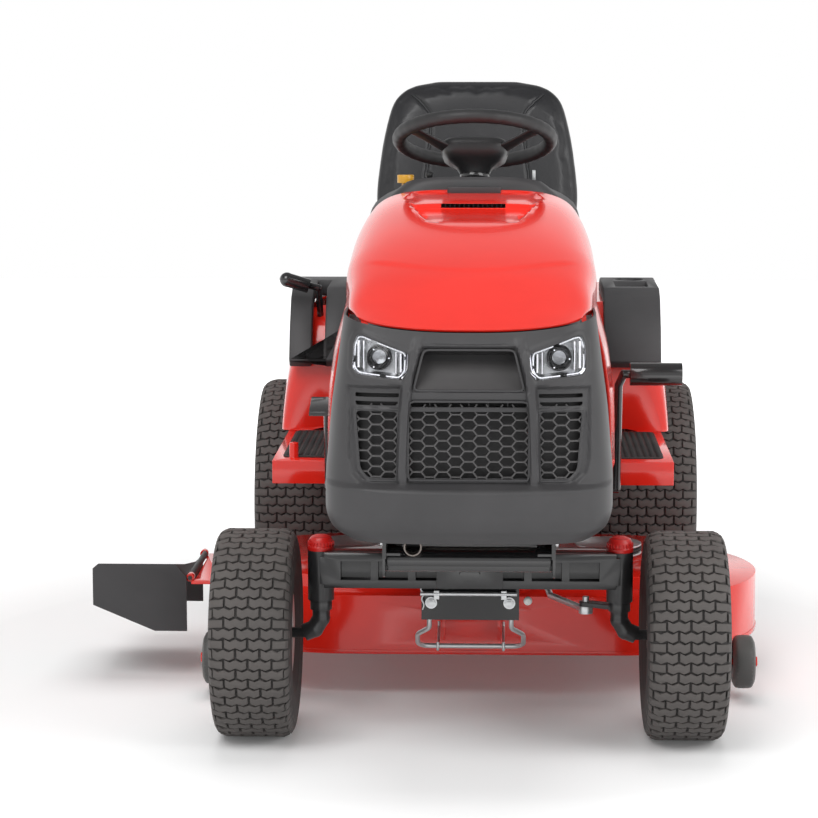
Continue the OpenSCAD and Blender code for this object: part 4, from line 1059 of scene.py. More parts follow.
def nose_y(x, z):
    """How far forward the fascia's face is at a place on its front."""
    z0 = np.array(z, float)
    for _ in range(6):
        half = read_curve(NOSE, 1, z0)
        rise = read_curve(NOSE, 3, z0)
        z0 = z - rise * np.abs(x / half) ** 2.5
    half = read_curve(NOSE, 1, z0)
    front = read_curve(NOSE, 2, z0)
    return FACE_BACK - (front + FACE_BACK) * (1 - np.abs(x / half).clip(0, 0.999) ** 5.88) ** 0.17


def on_nose(outline, depth=0.0):
    """Points of a flat outline laid on the fascia's face, set back by a depth."""
    pts = np.array(outline, float)
    return np.stack([pts[:, 0], nose_y(pts[:, 0], pts[:, 1]) + depth, pts[:, 1]], 1)


def nose_row(half, z, depth):
    """A level line of points across the middle of the fascia, set back by a depth."""
    return [(x, float(nose_y(x, z)) + depth, z) for x in np.linspace(-half, half, 24)]


def nose_relief(x, z):
    """Depth of the fascia's pressed shapes: shallow field, pillars and frames."""
    field = [(-207, 560), (-200, 534), (-184, 519), (-160, 514), (160, 514), (184, 519),
             (200, 534), (207, 560), (208, 684), (112, 684), (93, 752), (-93, 752),
             (-112, 684), (-208, 684)]
    depth = 9 * soft_step(2, -7, outline_distance(field, x, z))
    ax = np.abs(x)
    pillar = smooth_curve([510, 600, 680, 760], [112, 111, 105, 86], z)
    ridge = soft_step(11, 5.5, np.abs(ax - pillar)) * soft_step(768, 752, z)
    depth = depth * (1 - ridge) - 3.0 * ridge * soft_step(512, 524, z)
    frame_line = np.abs(outline_distance(SIDE_PANEL, ax, z) - 4.0)
    depth -= 2.4 * soft_step(3.4, 1.2, frame_line)
    brow = np.abs(outline_distance(UPPER, ax, z) - 6.0)
    depth -= 5.0 * soft_step(6.0, 2.0, brow) * soft_step(735, 745, z)
    cross = soft_step(655, 660, z) * soft_step(678, 672, z) * soft_step(104, 98, ax)
    depth -= cross * (3.0 + 0.25 * (z - 658))
    depth -= 1.8 * soft_step(5.2, 2.6, np.abs(outline_distance(LAMP, ax, z) - 4.8))
    depth -= 9 * (1 - (ax / 200).clip(0, 1) ** 2) * soft_step(516, 504, z)
    return depth


def nose_grid():
    """The fascia's outer skin, closer meshed where it faces front."""
    heights = np.concatenate([np.linspace(414, 506, 38), np.linspace(508, 526, 14),
                              np.linspace(528, 772, 112)])
    a = np.linspace(math.pi, 0, 4000)
    c, s = np.cos(a), np.sin(a).clip(1e-9)
    p0, p1 = squared(c, 0.34), s ** 0.34
    rows = []
    for z in heights:
        half, front, rise = [read_curve(NOSE, k, z) for k in (1, 2, 3)]
        line = np.stack([p0 * half, FACE_BACK - (front + FACE_BACK) * p1,
                         z + rise * np.abs(p0) ** 2.5], 1)
        steps = np.concatenate([[0], np.cumsum(np.linalg.norm(np.diff(line, axis=0), axis=1))])
        middle, arc = steps[-1] / 2, half * 1.02
        at = np.concatenate([np.linspace(0, middle - arc, 26)[:-1],
                             np.linspace(middle - arc, middle + arc, 178),
                             np.linspace(middle + arc, steps[-1], 26)[1:]])
        rows.append(np.stack([np.interp(at, steps, line[:, k]) for k in range(3)], 1))
    rows = np.array(rows)
    facing = soft_step(-190, -240, rows[..., 1])
    rows[..., 1] += nose_relief(rows[..., 0], rows[..., 2]) * facing
    return rows


def rounded_prism(outline, radius, low, high):
    """A flat XZ outline with round corners, drawn out along Y."""
    return prism(fillet([(z, x) for x, z in outline], radius, 4, True), low, high, "y")


def rim_line(outline, radius, depth, grow=0.0, count=90):
    """A closed line on the fascia's face that follows an outline."""
    line = fillet(outline, radius, 5, True)
    middle = line.mean(0)
    away = line - middle
    line = middle + away * (1 + grow / np.linalg.norm(away, axis=1))[:, None]
    line = even_arc(np.concatenate([line, line[:1]]), count + 1)[:-1]
    return on_nose(line, depth)


def panel(outline, depth, thick, nx=26, nz=12):
    """A thin sheet filling an outline, laid on the fascia's face and set back."""
    pts = np.array(outline, float)
    xs = np.linspace(pts[:, 0].min() + 0.2, pts[:, 0].max() - 0.2, nx)
    rows = []
    for x in xs:
        hits = []
        for a, b in zip(pts, np.roll(pts, -1, 0)):
            if (a[0] - x) * (b[0] - x) <= 0 and a[0] != b[0]:
                hits.append(a[1] + (x - a[0]) / (b[0] - a[0]) * (b[1] - a[1]))
        z = np.linspace(min(hits), max(hits), nz)
        rows.append(np.stack([np.full(nz, x), nose_y(np.full(nz, x), z) + depth, z], 1))
    front = np.array(rows)
    back = front + (0, thick, 0)
    ring = np.concatenate([front, back[:, ::-1]], 1)
    return loft(ring)


def nose_bar(x0, x1, low, high, depth, thick):
    """A bar across the fascia that follows its face."""
    xs = np.linspace(x0, x1, 30)
    rows = []
    for x in xs:
        ring = []
        for z, d in ((low, depth), (high, depth + 1.5), (high, depth + thick), (low, depth + thick)):
            ring.append((x, float(nose_y(x, z)) + d, z))
        rows.append(ring)
    return loft(rows)


def comb(name, columns, rows, centre_x, centre_z):
    """A honeycomb bent onto the fascia's face. Its cells' walls keep their depth."""
    sizes = bpy.context.scene.mower_sizes
    obj = path_object(name, [[(0, 0, 0), (1, 0, 0)]])
    repeat(obj, "Honeycomb", "comb plastic", Columns=columns, Rows=rows,
           **{"Column Pitch": sizes.comb_columns, "Row Pitch": sizes.comb_rows,
              "Wall": sizes.comb_wall, "Depth": 9 * MM})
    flat = points_of(obj) / MM
    z = flat[:, 2] + centre_z
    x = flat[:, 0] + centre_x
    depth = COMB_DEPTH + flat[:, 1]
    move_points(obj, to_row(np.stack([x, nose_y(x, z) + depth, z], 1)))
    return obj


def trim_comb(obj, outline):
    """Keeps only what of a honeycomb lies within an outline."""
    bm = bmesh.new()
    bm.from_mesh(obj.data)
    bm.verts.ensure_lookup_table()
    seen = set()
    for start in bm.verts:
        if start in seen:
            continue
        island, queue = {start}, [start]
        while queue:
            for edge in queue.pop().link_edges:
                for vert in edge.verts:
                    if vert not in island:
                        island.add(vert)
                        queue.append(vert)
        seen |= island
        middle = (np.mean([v.co for v in island], 0) - ORIGIN) / MM
        if outline_distance(outline, middle[0], middle[2]) > 9:
            bmesh.ops.delete(bm, geom=list(island), context="VERTS")
            seen -= island
    bm.to_mesh(obj.data)
    bm.free()
    return obj


class MOWER_OT_fascia(bpy.types.Operator):
    """Builds the front fascia with its frames, bars, honeycombs and upper tray"""
    bl_idname = "mower.fascia"
    bl_label = "Front Fascia"

    def execute(self, context):
        fascia = mesh_object("fascia_shell", Shape(grid(nose_grid())), "charcoal plastic")
        modify(fascia, "SOLIDIFY", thickness=4 * MM, offset=-1, use_even_offset=True)
        plain(fascia)
        holes = Shape(rounded_prism(GRILLE, 6, -400, -200), rounded_prism(UPPER, 8, -400, -200))
        for outline, radius in [(SIDE_PANEL, 7), (LAMP, 5)] + [(s, 2) for s in SIDE_SLOTS]:
            for each in (outline, mirror(outline)):
                holes.add(*rounded_prism(each, radius, -400, -130))
        cut(fascia, holes)
        add_bevel(fascia, 0.7, 2, 50)
        settle(fascia, "hood", ["front_fascia"], 30)
        rims = Shape()
        profile = [(-2.2, -1), (2.2, -1), (1.6, 1.6), (-1.6, 1.6)]
        for outline, radius in ((GRILLE, 6), (UPPER, 8)):
            rims.add(*band(rim_line(outline, radius, 4.0, 2.0), profile, True, (0, -1, 0)))
        make("grille_rims", rims, "charcoal plastic", "hood", bevel=0.5)
        bars = Shape(nose_bar(-101, 101, 640, 648, 9, 16), nose_bar(-104, 104, 518, 527, 12, 8))
        make("grille_bars", bars, "charcoal plastic", "hood", bevel=0.9)
        slats = Shape()
        for x in (-66, -33, 0, 33, 66):
            slats.add(*brick((x - 1.2, float(nose_y(x, 653.0)) + 14, 648),
                             (x + 1.2, float(nose_y(x, 653.0)) + 26, 658)))
        # the slats are darkened as painted shade in the grille's slot
        make("grille_slats", slats, "painted shade plastic", "hood", bevel=0.6)
        field = [(-101, 526), (101, 526), (101, 640), (-101, 640)]
        middle = trim_comb(comb("grille_comb", 11, 8, 0, 582), field)
        settle(middle, "hood", ["grille_mesh"], 30)
        for label, side in SIDES:
            outline = SIDE_PANEL if side > 0 else mirror(SIDE_PANEL)
            cells = trim_comb(comb(label + "_side_comb", 5, 8, side * 157, 582), outline)
            settle(cells, "hood", smooth=30)
        back = Shape(panel([(-104, 518), (104, 518), (104, 696), (-104, 696)], 34, 3),
                     panel([(-98, 672), (98, 672), (82, 760), (-82, 760)], 44, 3))
        beside = [(114, 518), (184, 518), (200, 690), (112, 690)]
        for outline in (beside, mirror(beside)):
            back.add(*panel(outline, 26, 3))
        # the sheets behind the honeycombs are darkened as painted shade
        make("grille_backing", back, "painted shade plastic", "hood")
        shelf = [nose_row(*line) for line in ((95, 676, 4), (93, 679, 9), (92, 686, 18),
                                              (90, 697, 29), (88, 712, 40), (86, 722, 44))]
        make("grille_shelf", Shape(grid(shelf)), "comb plastic", "hood", wall=2,
             bevel=0.5)
        roof = [nose_row(*line) for line in ((78, 745, 3), (77, 744, 14), (76, 740, 30),
                                             (76, 734, 44))]
        # the roof of the upper opening is darkened as painted shade
        make("grille_roof", Shape(grid(roof)), "painted shade plastic", "hood", wall=2,
             bevel=0.5)
        cheeks = Shape()
        for side in (-1, 1):
            cheeks.add(*grid([[(side * (x + 3), float(nose_y(x, z)) + d, z) for d in (4, 24, 46)]
                              for x, z in ((93, 676), (88, 700), (82, 722), (76, 745))]))
        # the cheeks of the upper opening are darkened as painted shade
        make("grille_cheeks", cheeks, "painted shade plastic", "hood", wall=2)
        pads = Shape(*both_sides(lathe([(-2, 0.1), (-2, 6), (-1, 7), (3, 7), (3, 0.1)],
                                       (180, -314, 470), "y", 24)))
        make("bumper_plugs", pads, "black plastic", "hood", bevel=0.5)
        return {"FINISHED"}


class MOWER_OT_headlights(bpy.types.Operator):
    """Builds both headlights: tray, projector, beads, guides, light line and clear lens"""
    bl_idname = "mower.headlights"
    bl_label = "Headlights"

    def execute(self, context):
        for label, side in SIDES:
            outline = LAMP if side > 0 else mirror(LAMP)
            middle = np.mean(outline, 0)

            def scaled(by):
                return [tuple(middle + (np.array(p) - middle) * by) for p in outline]

            rows = [rim_line(scaled(by), 5, depth)
                    for by, depth in ((1.04, 5), (0.97, 12), (0.90, 24), (0.84, 34))]
            tray = Shape(grid(rows, wrap=True))
            make(label + "_lamp_tray", tray, "chrome", "hood", wall=1.2)
            make(label + "_lamp_back", Shape(panel(scaled(0.88), 33, 2)), "zinc",
                 "hood")
            eye = (side * 153, float(nose_y(153.0, 729.0)) + 9, 729)
            ring = [(30, 14), (4, 16), (0, 18.5), (0, 20), (3, 21), (10, 21.5), (30, 21.5)]
            make(label + "_lamp_ring", Shape(lathe(ring, eye, "y", 48, True)), "black plastic",
                 "hood", smooth=30)
            bowl = [(28, 0.2), (28, 8), (22, 13), (6, 15.5), (6, 14.8), (21, 12), (27, 7.6),
                    (27, 0.2)]
            make(label + "_lamp_bowl", Shape(lathe(bowl, eye, "y", 48)), "black plastic", "hood")
            bulb = [(9, 0.1), (9.5, 4), (12, 8), (17, 11), (22, 12), (24, 12), (24, 0.1)]
            make(label + "_lamp_bulb", Shape(lathe(bulb, eye, "y", 40)), "lamp lens", "hood")
            bead = Shape(lathe([(-0.8, 0.1), (-0.8, 1.3), (0.4, 1.3), (0.9, 0.7), (0.9, 0.1)],
                               (17.2, 0, 0), "y", 10))
            round_array(label + "_lamp_beads", bead, 3, (eye[0], eye[1] + 0.5, eye[2]), (0, 1, 0),
                        "led white", "hood")
            guides = Shape()
            for x, z0, z1, half in ((116, 704, 736, 3.6), (124, 702, 739, 2.2),
                                    (188, 711, 757, 4.2), (179, 709, 757, 2.4)):
                y = float(nose_y(float(x), 730.0)) + 12
                x *= side
                guides.add(*grid([[(x - half, y + 9, z0), (x - half, y + 9, z1)],
                                  [(x - half * 0.4, y, z0 + 1), (x - half * 0.4, y, z1 + 1)],
                                  [(x + half * 0.4, y, z0 + 1), (x + half * 0.4, y, z1 + 1)],
                                  [(x + half, y + 9, z0 + 1), (x + half, y + 9, z1 + 2)]]))
            make(label + "_lamp_guides", guides, "chrome", "hood", wall=0.8,
                 smooth=10)
            line = rim_line(scaled(0.91), 6, 6.5)
            line = np.concatenate([line, line[:1]])
            lines = [line[k:k + 19] for k in (1, 24, 47, 70)]
            bars_along(label + "_lamp_line", lines, 2.6, (2.6, 2.6, 4.2), "led white", "hood")
            make(label + "_lamp_lens", Shape(panel(scaled(0.992), 1.8, 2.0, 34, 14)), "lamp lens",
                 "hood", replaces=["headlights"] if side > 0 else (), smooth=60)
        return {"FINISHED"}


# ---- pieces that keep their frame node's form ----

SLOT_FINISH = {
    "red_paint": "red gloss", "black_paint": "frame black", "charcoal_plastic": "charcoal plastic",
    "black_plastic": "black plastic", "aluminium": "cast aluminium", "exhaust": "exhaust steel",
    "zinc": "zinc", "chrome": "chrome", "belt_rubber": "belt rubber", "tire_rubber": "shaded tire rubber",
    "rim_paint": "rim paint", "lamp_glass": "lamp lens", "seat_vinyl": "seat vinyl",
    "roller_plastic": "roller plastic", "knob_yellow": "knob yellow", "tank_plastic": "tank plastic"}


def rounded_nodes(table, **finishes):
    for node, width in table.items():
        finish = finishes.get(node) or SLOT_FINISH[node_slot(node)]
        rounded_copy(node, finish, width)


class MOWER_OT_chassis(bpy.types.Operator):
    """Builds the frame rails, crossmembers, hitch plate, bracket rod and exhaust tip"""
    bl_idname = "mower.chassis"
    bl_label = "Chassis"

    def execute(self, context):
        edge = context.scene.mower_sizes.edge_round / MM
        rounded_nodes({"left_frame_rail": edge, "right_frame_rail": edge, "front_crossmember": edge,
                       "rear_hitch_plate": edge, "frame_bolts": 0.8, "seat_hinge_plate": 1.2})
        bolts("bracket_nuts", [((s * 72, 44.5, 238), (0, -1, 0)) for s in (-1, 1)], "chassis",
              15, 9, 11)
        rod = Shape(tube([(-92, 39, 256), (-60, 39, 256), (60, 39, 256), (86, 39, 256)], 4.0, 20))
        pin = [(-88, 39, 270), (-92, 39, 264), (-84, 39, 256), (-91, 39, 246), (-84, 39, 236),
               (-88, 39, 226)]
        rod.add(*tube(fillet(pin, 6), 1.5, 10))
        for x in (-62, 62):
            rod.add(*brick((x - 5, 36, 246), (x + 5, 45, 262)))
        make("bracket_rod", rod, "zinc", "chassis", bevel=0.4)
        knob = [(30, 0.3), (31, 5), (34, 7.5), (39, 8), (43, 6), (45.5, 5.5), (45.5, 0.3)]
        make("bracket_end_cap", Shape(lathe(knob, (106, 0, 244), "y", 32)), "white plastic",
             "chassis", bevel=0.5)
        pipe = Shape(lathe([(-14, 13), (-14, 16), (50, 16), (50, 13)], (-98, -190, 389), "y", 48,
                           True))
        make("exhaust_tip", pipe, "exhaust steel", "chassis", bevel=1.0)
        inside = Shape(lathe([(0, 0.3), (0, 13.2), (4, 13.2), (4, 0.3)], (-98, -165, 389), "y", 32))
        # a dark disc inside the pipe: painted shade for its hollow
        make("exhaust_tip_inside", inside, "painted shade plastic", "chassis")
        beam = Shape(lathe([(-146, 0.3), (-146, 20), (-143, 22), (143, 22), (146, 20), (146, 0.3)],
                           (0, -170, 362), "x", 64))
        for side in (-1, 1):
            ear = rounded_box(-204, 334, -140, 396, 12)
            beam.add(*prism(ear, side * 146, side * 151, "x"))
        make("crossmember_tube", beam, "frame black", "chassis", bevel=0.8)
        return {"FINISHED"}


class MOWER_OT_engine(bpy.types.Operator):
    """Builds the engine's block, finned cylinders, blower, air cleaner and muffler"""
    bl_idname = "mower.engine"
    bl_label = "Engine"

    def execute(self, context):
        rounded_nodes({"engine_block": 1.5, "engine_cylinders": 1.0, "blower_housing": 2.5,
                       "air_cleaner": 3.0, "muffler": 1.5, "crankshaft": 0.8},
                      engine_block="engine black", crankshaft="zinc")
        slot_bar = Shape(brick((-1.5, 40, 685), (1.5, 112, 688)))
        round_array("blower_screen", slot_bar, 36, (0, 200, 0), (0, 0, 1), "black plastic",
                    "chassis", bevel=0.6)
        ribs = Shape(*[brick((x - 2, -36, 670), (x + 2, 60, 674)) for x in range(-64, 65, 16)])
        make("air_cleaner_ribs", ribs, "black plastic", "chassis", bevel=1.0)
        return {"FINISHED"}


class MOWER_OT_drive(bpy.types.Operator):
    """Builds the transaxle, belts, battery and fuel tank"""
    bl_idname = "mower.drive"
    bl_label = "Drive, Battery and Tank"

    def execute(self, context):
        rounded_nodes({"transaxle": 3.0, "transaxle_pulley": 1.0, "belts": 0.8, "battery": 2.5,
                       "fuel_tank": 4.0, "fuel_cap": 1.5}, battery="battery case")
        studs = Shape(*both_sides(lathe([(614, 0.1), (614, 9), (628, 8), (628, 0.1)],
                                        (100, 1010, 0), "z", 24)))
        make("battery_posts", studs, "zinc", "chassis", bevel=1.0)
        return {"FINISHED"}


class MOWER_OT_front_axle(bpy.types.Operator):
    """Builds the cast axle beam, spindles, steering rods, and ribbed red kingpin caps"""
    bl_idname = "mower.front_axle"
    bl_label = "Front Axle"

    def execute(self, context):
        rounded_nodes({"front_axle": 3.0, "left_spindle": 1.5, "right_spindle": 1.5,
                       "tie_rod": 1.0, "drag_link": 1.0, "steering_sector": 1.5},
                      front_axle="cast black", left_spindle="cast black",
                      right_spindle="cast black")
        for label, side in SIDES:
            dome = [(345, 24.5), (352, 24.5), (353, 23.5), (357, 22.5), (364, 21.5), (369, 18.5),
                    (372.5, 11), (373.5, 0.3)]
            make(label + "_kingpin_cap", Shape(lathe([(345, 0.3)] + dome, (side * 272, 0, 0), "z",
                                                     48)), "cap red", "front_axle", bevel=0.8)
            rib = Shape(brick((20.5, -1.1, 353), (24.3, 1.1, 361)))
            round_array(label + "_kingpin_cap_ribs", rib, 24, (side * 272, 0, 0), (0, 0, 1),
                        "cap red", "front_axle", bevel=0.5)
        return {"FINISHED"}


class MOWER_OT_deck(bpy.types.Operator):
    """Builds the mower deck, discharge chute, blades, gauge wheels and front bail"""
    bl_idname = "mower.deck"
    bl_label = "Mower Deck"

    def execute(self, context):
        def sloped(x, y, z):
            """The chute's roof falls away towards the rear and outer end."""
            share = soft_step(-560, -585, x) * (z - 100) / 136
            return x, y, z - share * 58 * (y - 404) / 292

        rounded_copy("discharge_chute", "charcoal plastic", 5.0, 3, reshape=sloped)
        rounded_nodes({"deck_shell": 2.2, "left_blade": 0.6,
                       "right_blade": 0.6, "left_gauge_wheel": 3.0, "right_gauge_wheel": 3.0})
        hang = [(76, 66, 233), (76, 70, 196), (76, 76, 184), (99, 94, 168), (99, 130, 142),
                (88, 146, 134), (60, 150, 133)]
        path = fillet(hang + [(-x, y, z) for x, y, z in reversed(hang)], 9, 4)
        bail = Shape(tube(path, 4.6, 20))
        for side in (-1, 1):
            bail.add(*tube(fillet([(side * 76, 56, 234), (side * 76, 76, 234)], 1), 9.5, 24))
            link = [(side * 62, 146, 141), (side * 62, 142, 126), (side * 62, 200, 128),
                    (side * 62, 255, 146), (side * 62, 258, 156)]
            bail.add(*tube(fillet(link, 9, 4), 2.8, 12))
        make("bail_rod", bail, "zinc", "front_bail", replaces=["front_bail"], smooth=40)
        return {"FINISHED"}


# FENDER_TOP runs along and up, FENDER_SIDE down from the top and out from the middle
FENDER_TOP = [(816, 560), (822, 620), (842, 672), (868, 695), (905, 715), (1380, 715),
              (1418, 701), (1442, 667), (1455, 600)]
FENDER_SIDE = [(0, 322), (4, 340), (14, 356), (34, 369), (75, 385), (140, 401), (215, 411),
               (269, 415)]


def fender_row(y, top):
    """One line across the fender: down one flared side, over the pan, down the other."""
    far = 285.0 ** 2 - (y - 1180.0) ** 2
    low = max(446.0 if y < 1180 else 470.0, 254 + math.sqrt(far) if far > 0 else 0)
    low = min(low, top - 2)
    drops = np.linspace(0, top - low, 60)
    side = np.stack([smooth_curve([d for d, _ in FENDER_SIDE], [w for _, w in FENDER_SIDE], drops),
                     np.full(60, float(y)), top - drops], 1)
    side = even_arc(side, 34)
    pan = min(690.0, top - 0.5)
    edge = fillet([(322, y, top), (258, y, top), (240, y, pan), (0, y, pan)], 9, 4)[1:]
    half = np.concatenate([side[::-1], edge])
    return np.concatenate([half, (half * (-1, 1, 1))[-2::-1]])


def fender_shell():
    """The fender's outer skin, from the footboards back over the rear tires."""
    tops = np.array(FENDER_TOP, float)
    ys = np.concatenate([[816.2, 817, 819, 822, 827, 834], np.linspace(842, 905, 14),
                         np.linspace(912, 1380, 70), np.linspace(1386, 1440, 16),
                         [1444, 1448, 1452, 1454, 1454.8]])
    rows = [fender_row(816.2, 452.0)]
    rows += [fender_row(y, float(read_curve(tops, 1, y))) for y in ys]
    rows.append(fender_row(1454.8, 480.0))
    return Shape(grid(rows))


class MOWER_OT_fender(bpy.types.Operator):
    """Builds the fender, footboards with their mats, consoles and lift lever"""
    bl_idname = "mower.fender"
    bl_label = "Fender and Footboards"

    def execute(self, context):
        sizes = context.scene.mower_sizes
        fender = mesh_object("fender_shell", fender_shell(), "red gloss")
        modify(fender, "SOLIDIFY", thickness=3.5 * MM, offset=-1, use_even_offset=False)
        plain(fender)
        for label, side in SIDES:
            lens = [(z, x) for x, z in rounded_box(side * 300, 628, side * 372, 652, 9)]
            make(label + "_reflector", Shape(prism(lens, 1440, 1458, "y")), "cap red", "chassis",
                 bevel=1.2)
        slot_line = rounded_box(-347, 884, -313, 1012, 8, 4)
        cut(fender, Shape(prism(slot_line, 640, 740)))
        add_bevel(fender, 1.2, 2, 50)
        settle(fender, "chassis", ["fender_body"], 40)
        rounded_nodes({"left_footboard": 2.0, "right_footboard": 2.0,
                       "left_console": 3.5, "right_console": 3.5, "lift_lever": 1.0,
                       "brake_pedal": 1.2, "drive_pedal": 1.2})
        pitch = sizes.mat_ribs / MM
        for label, side in SIDES:
            outline = rounded_box(side * 170, 440, side * 378, 800, 22, 6)
            make(label + "_mat", Shape(prism(outline, 445.5, 448.5)), "mat rubber", "chassis",
                 bevel=1.0)
            lines = [[(side * 180, y, 448.5), (side * 368, y, 448.5)]
                     for y in np.arange(456, 790, pitch)]
            bars_along(label + "_mat_ribs", lines, 12.5, (4.0, 5.0, 10.0), "mat rubber",
                       "chassis")
        return {"FINISHED"}


class MOWER_OT_dash(bpy.types.Operator):
    """Builds the dash tower, steering column and its cover, and the hand controls"""
    bl_idname = "mower.dash"
    bl_label = "Dash"

    def execute(self, context):
        # height, half width, front, back
        levels = [(430, 148, 536, 690), (640, 150, 530, 692), (700, 216, 527, 700),
                  (830, 222, 528, 700), (900, 214, 530, 698), (936, 204, 533, 694),
                  (958, 178, 538, 690), (970, 152, 542, 686), (976, 138, 548, 680)]
        heights = np.concatenate([np.linspace(430, 950, 60), np.linspace(956, 976, 9)])
        a = ring_angles(160)
        c, s = np.cos(a), np.sin(a)
        rows = []
        keys = np.array(levels, float)
        for z in heights:
            half, y0, y1 = [read_curve(keys, k, z) for k in (1, 2, 3)]
            x = squared(c, 0.45) * half
            y = (y0 + y1) / 2 + squared(s, 0.45) * (y1 - y0) / 2
            cowl = 21 * soft_step(640, 560, y) * soft_step(930, 976, z) * (1 - (x / 160) ** 4)
            rows.append(np.stack([x, y, z + cowl], 1))
        make("dash_shell", Shape(loft(rows)), "charcoal plastic", "chassis",
             replaces=["dash_tower"], smooth=40)
        rounded_nodes({"steering_column": 1.5, "throttle_lever": 1.0, "pto_knob": 1.0,
                       "ignition_key": 0.6})
        rows = []
        b = ring_angles(48)
        for s, half in ((-170, 44), (-120, 41), (-92, 39), (-89, 36)):
            u = squared(np.cos(b), 0.3) * half
            v = squared(np.sin(b), 0.3) * half * 0.8
            rows.append(on_wheel(np.stack([u, v, np.full_like(u, s)], 1)))
        make("column_cover", Shape(loft(rows)), "charcoal plastic",
             "chassis", bevel=1.2, smooth=30)
        ribs = Shape()
        for k in range(7):
            z = 700 + 24 * k
            half = float(read_curve(keys, 1, z))
            for side in (-1, 1):
                ribs.add(*brick(*sorted_box((side * (half - 5), 575, z),
                                            (side * (half + 1.6), 650, z + 8))))
        make("dash_side_ribs", ribs, "charcoal plastic", "chassis", bevel=1.6)
        plate = fillet([(-128, 642), (128, 642), (124, 672), (-124, 672)], 12, 6, True)
        make("dash_plate", Shape(prism(plate, 975, 977.5)), "black plastic", "chassis", bevel=0.9)
        return {"FINISHED"}


# ---- steering wheel ----

WHEEL_TILT = math.radians(19.5)


def on_wheel(points):
    """Points across, along and above the steering wheel's plane, set in place."""
    u, v, s = np.asarray(points, float).reshape(-1, 3).T
    return np.stack([u, 656 + v * math.cos(WHEEL_TILT) + s * math.sin(WHEEL_TILT),
                     1067 - v * math.sin(WHEEL_TILT) + s * math.cos(WHEEL_TILT)], 1)


class MOWER_OT_steering_wheel(bpy.types.Operator):
    """Builds the steering wheel: grained rim, three dished spokes, hub and centre pad"""
    bl_idname = "mower.steering_wheel"
    bl_label = "Steering Wheel"

    def execute(self, context):
        a = ring_angles(144)
        circle = np.stack([153.5 * np.cos(a), 153.5 * np.sin(a), 0 * a], 1)
        radius = 13.6 + 0.7 * np.abs(np.sin(a * 18))
        make("steering_rim", Shape(tube(on_wheel(circle), radius, 24, True)), "grip foam",
             "steering_wheel", replaces=["steering_wheel"], smooth=60)
        spokes = Shape()
        for turn in (90, 210, 330):
            t = math.radians(turn)
            along = np.array([math.cos(t), math.sin(t), 0.0])
            across = np.array([-math.sin(t), math.cos(t), 0.0])
            rows = []
            for r, s, half, thick in ((26, -34, 27, 9), (50, -32, 23, 8), (80, -24, 17, 7),
                                      (110, -13, 15, 6), (138, -4, 16, 6), (150, -1, 19, 7)):
                ring = [along * r + across * half * math.cos(b)
                        + np.array([0, 0, s + thick * math.sin(b)]) for b in ring_angles(16)]
                rows.append(on_wheel(ring))
            spokes.add(*loft(rows))
        make("steering_spokes", spokes, "black plastic", "steering_wheel",
             levels=1, smooth=60)
        rows = []
        b = ring_angles(64)
        for s, half, corner in ((-74, 30, 1.0), (-62, 36, 0.8), (-52, 50, 0.6), (-40, 63, 0.5),
                                (-26, 68, 0.5), (-16, 67, 0.5), (-11, 62, 0.5), (-8, 46, 0.6),
                                (-7, 12, 1.0)):
            u = squared(np.cos(b), corner) * half
            v = squared(np.sin(b), corner) * half * 0.86
            rows.append(on_wheel(np.stack([u, v, np.full_like(u, s)], 1)))
        make("steering_hub", Shape(loft(rows)), "black plastic",
             "steering_wheel", smooth=50)
        seam = on_wheel(np.stack([50 * squared(np.cos(b), 0.6),
                                  43 * squared(np.sin(b), 0.6),
                                  0 * b - 8.6], 1))
        make("steering_pad_seam", Shape(tube(seam, 1.1, 10, True)), "grip foam",
             "steering_wheel", smooth=60)
        return {"FINISHED"}


# ---- wheels ----


def tire_profile(radius, width, rim):
    """Half of a tire's outside from the middle of its tread to its bead: across, radius."""
    high = radius - rim
    return [(0, radius), (0.36 * width, radius), (0.43 * width, radius - 5),
            (0.475 * width, radius - 16), (0.498 * width, rim + 0.62 * high),
            (0.488 * width, rim + 0.40 * high), (0.455 * width, rim + 0.20 * high),
            (0.415 * width, rim + 0.05 * high), (0.40 * width, rim)]


def tire_carcass(centre, radius, width, rim, height):
    """A tire without its tread blocks, sunk under them by their height."""
    half = [(x, r - (height if r > radius - 6 else height * 0.4 if r > radius - 20 else 0))
            for x, r in tire_profile(radius, width, rim)]
    out = []
    for x, r in fillet(half, 14, 5):
        level = (r - rim) / (radius - rim)
        ridge = 0.8 if 0.30 < level < 0.34 or 0.50 < level < 0.53 else 0
        out.append((x + ridge, r))
    whole = [(-x, r) for x, r in out[:0:-1]] + out
    inner = [(x * 0.86, max(r - 7, rim - 3)) for x, r in reversed(whole)]
    return lathe(whole + inner, centre, "x", 160, True)


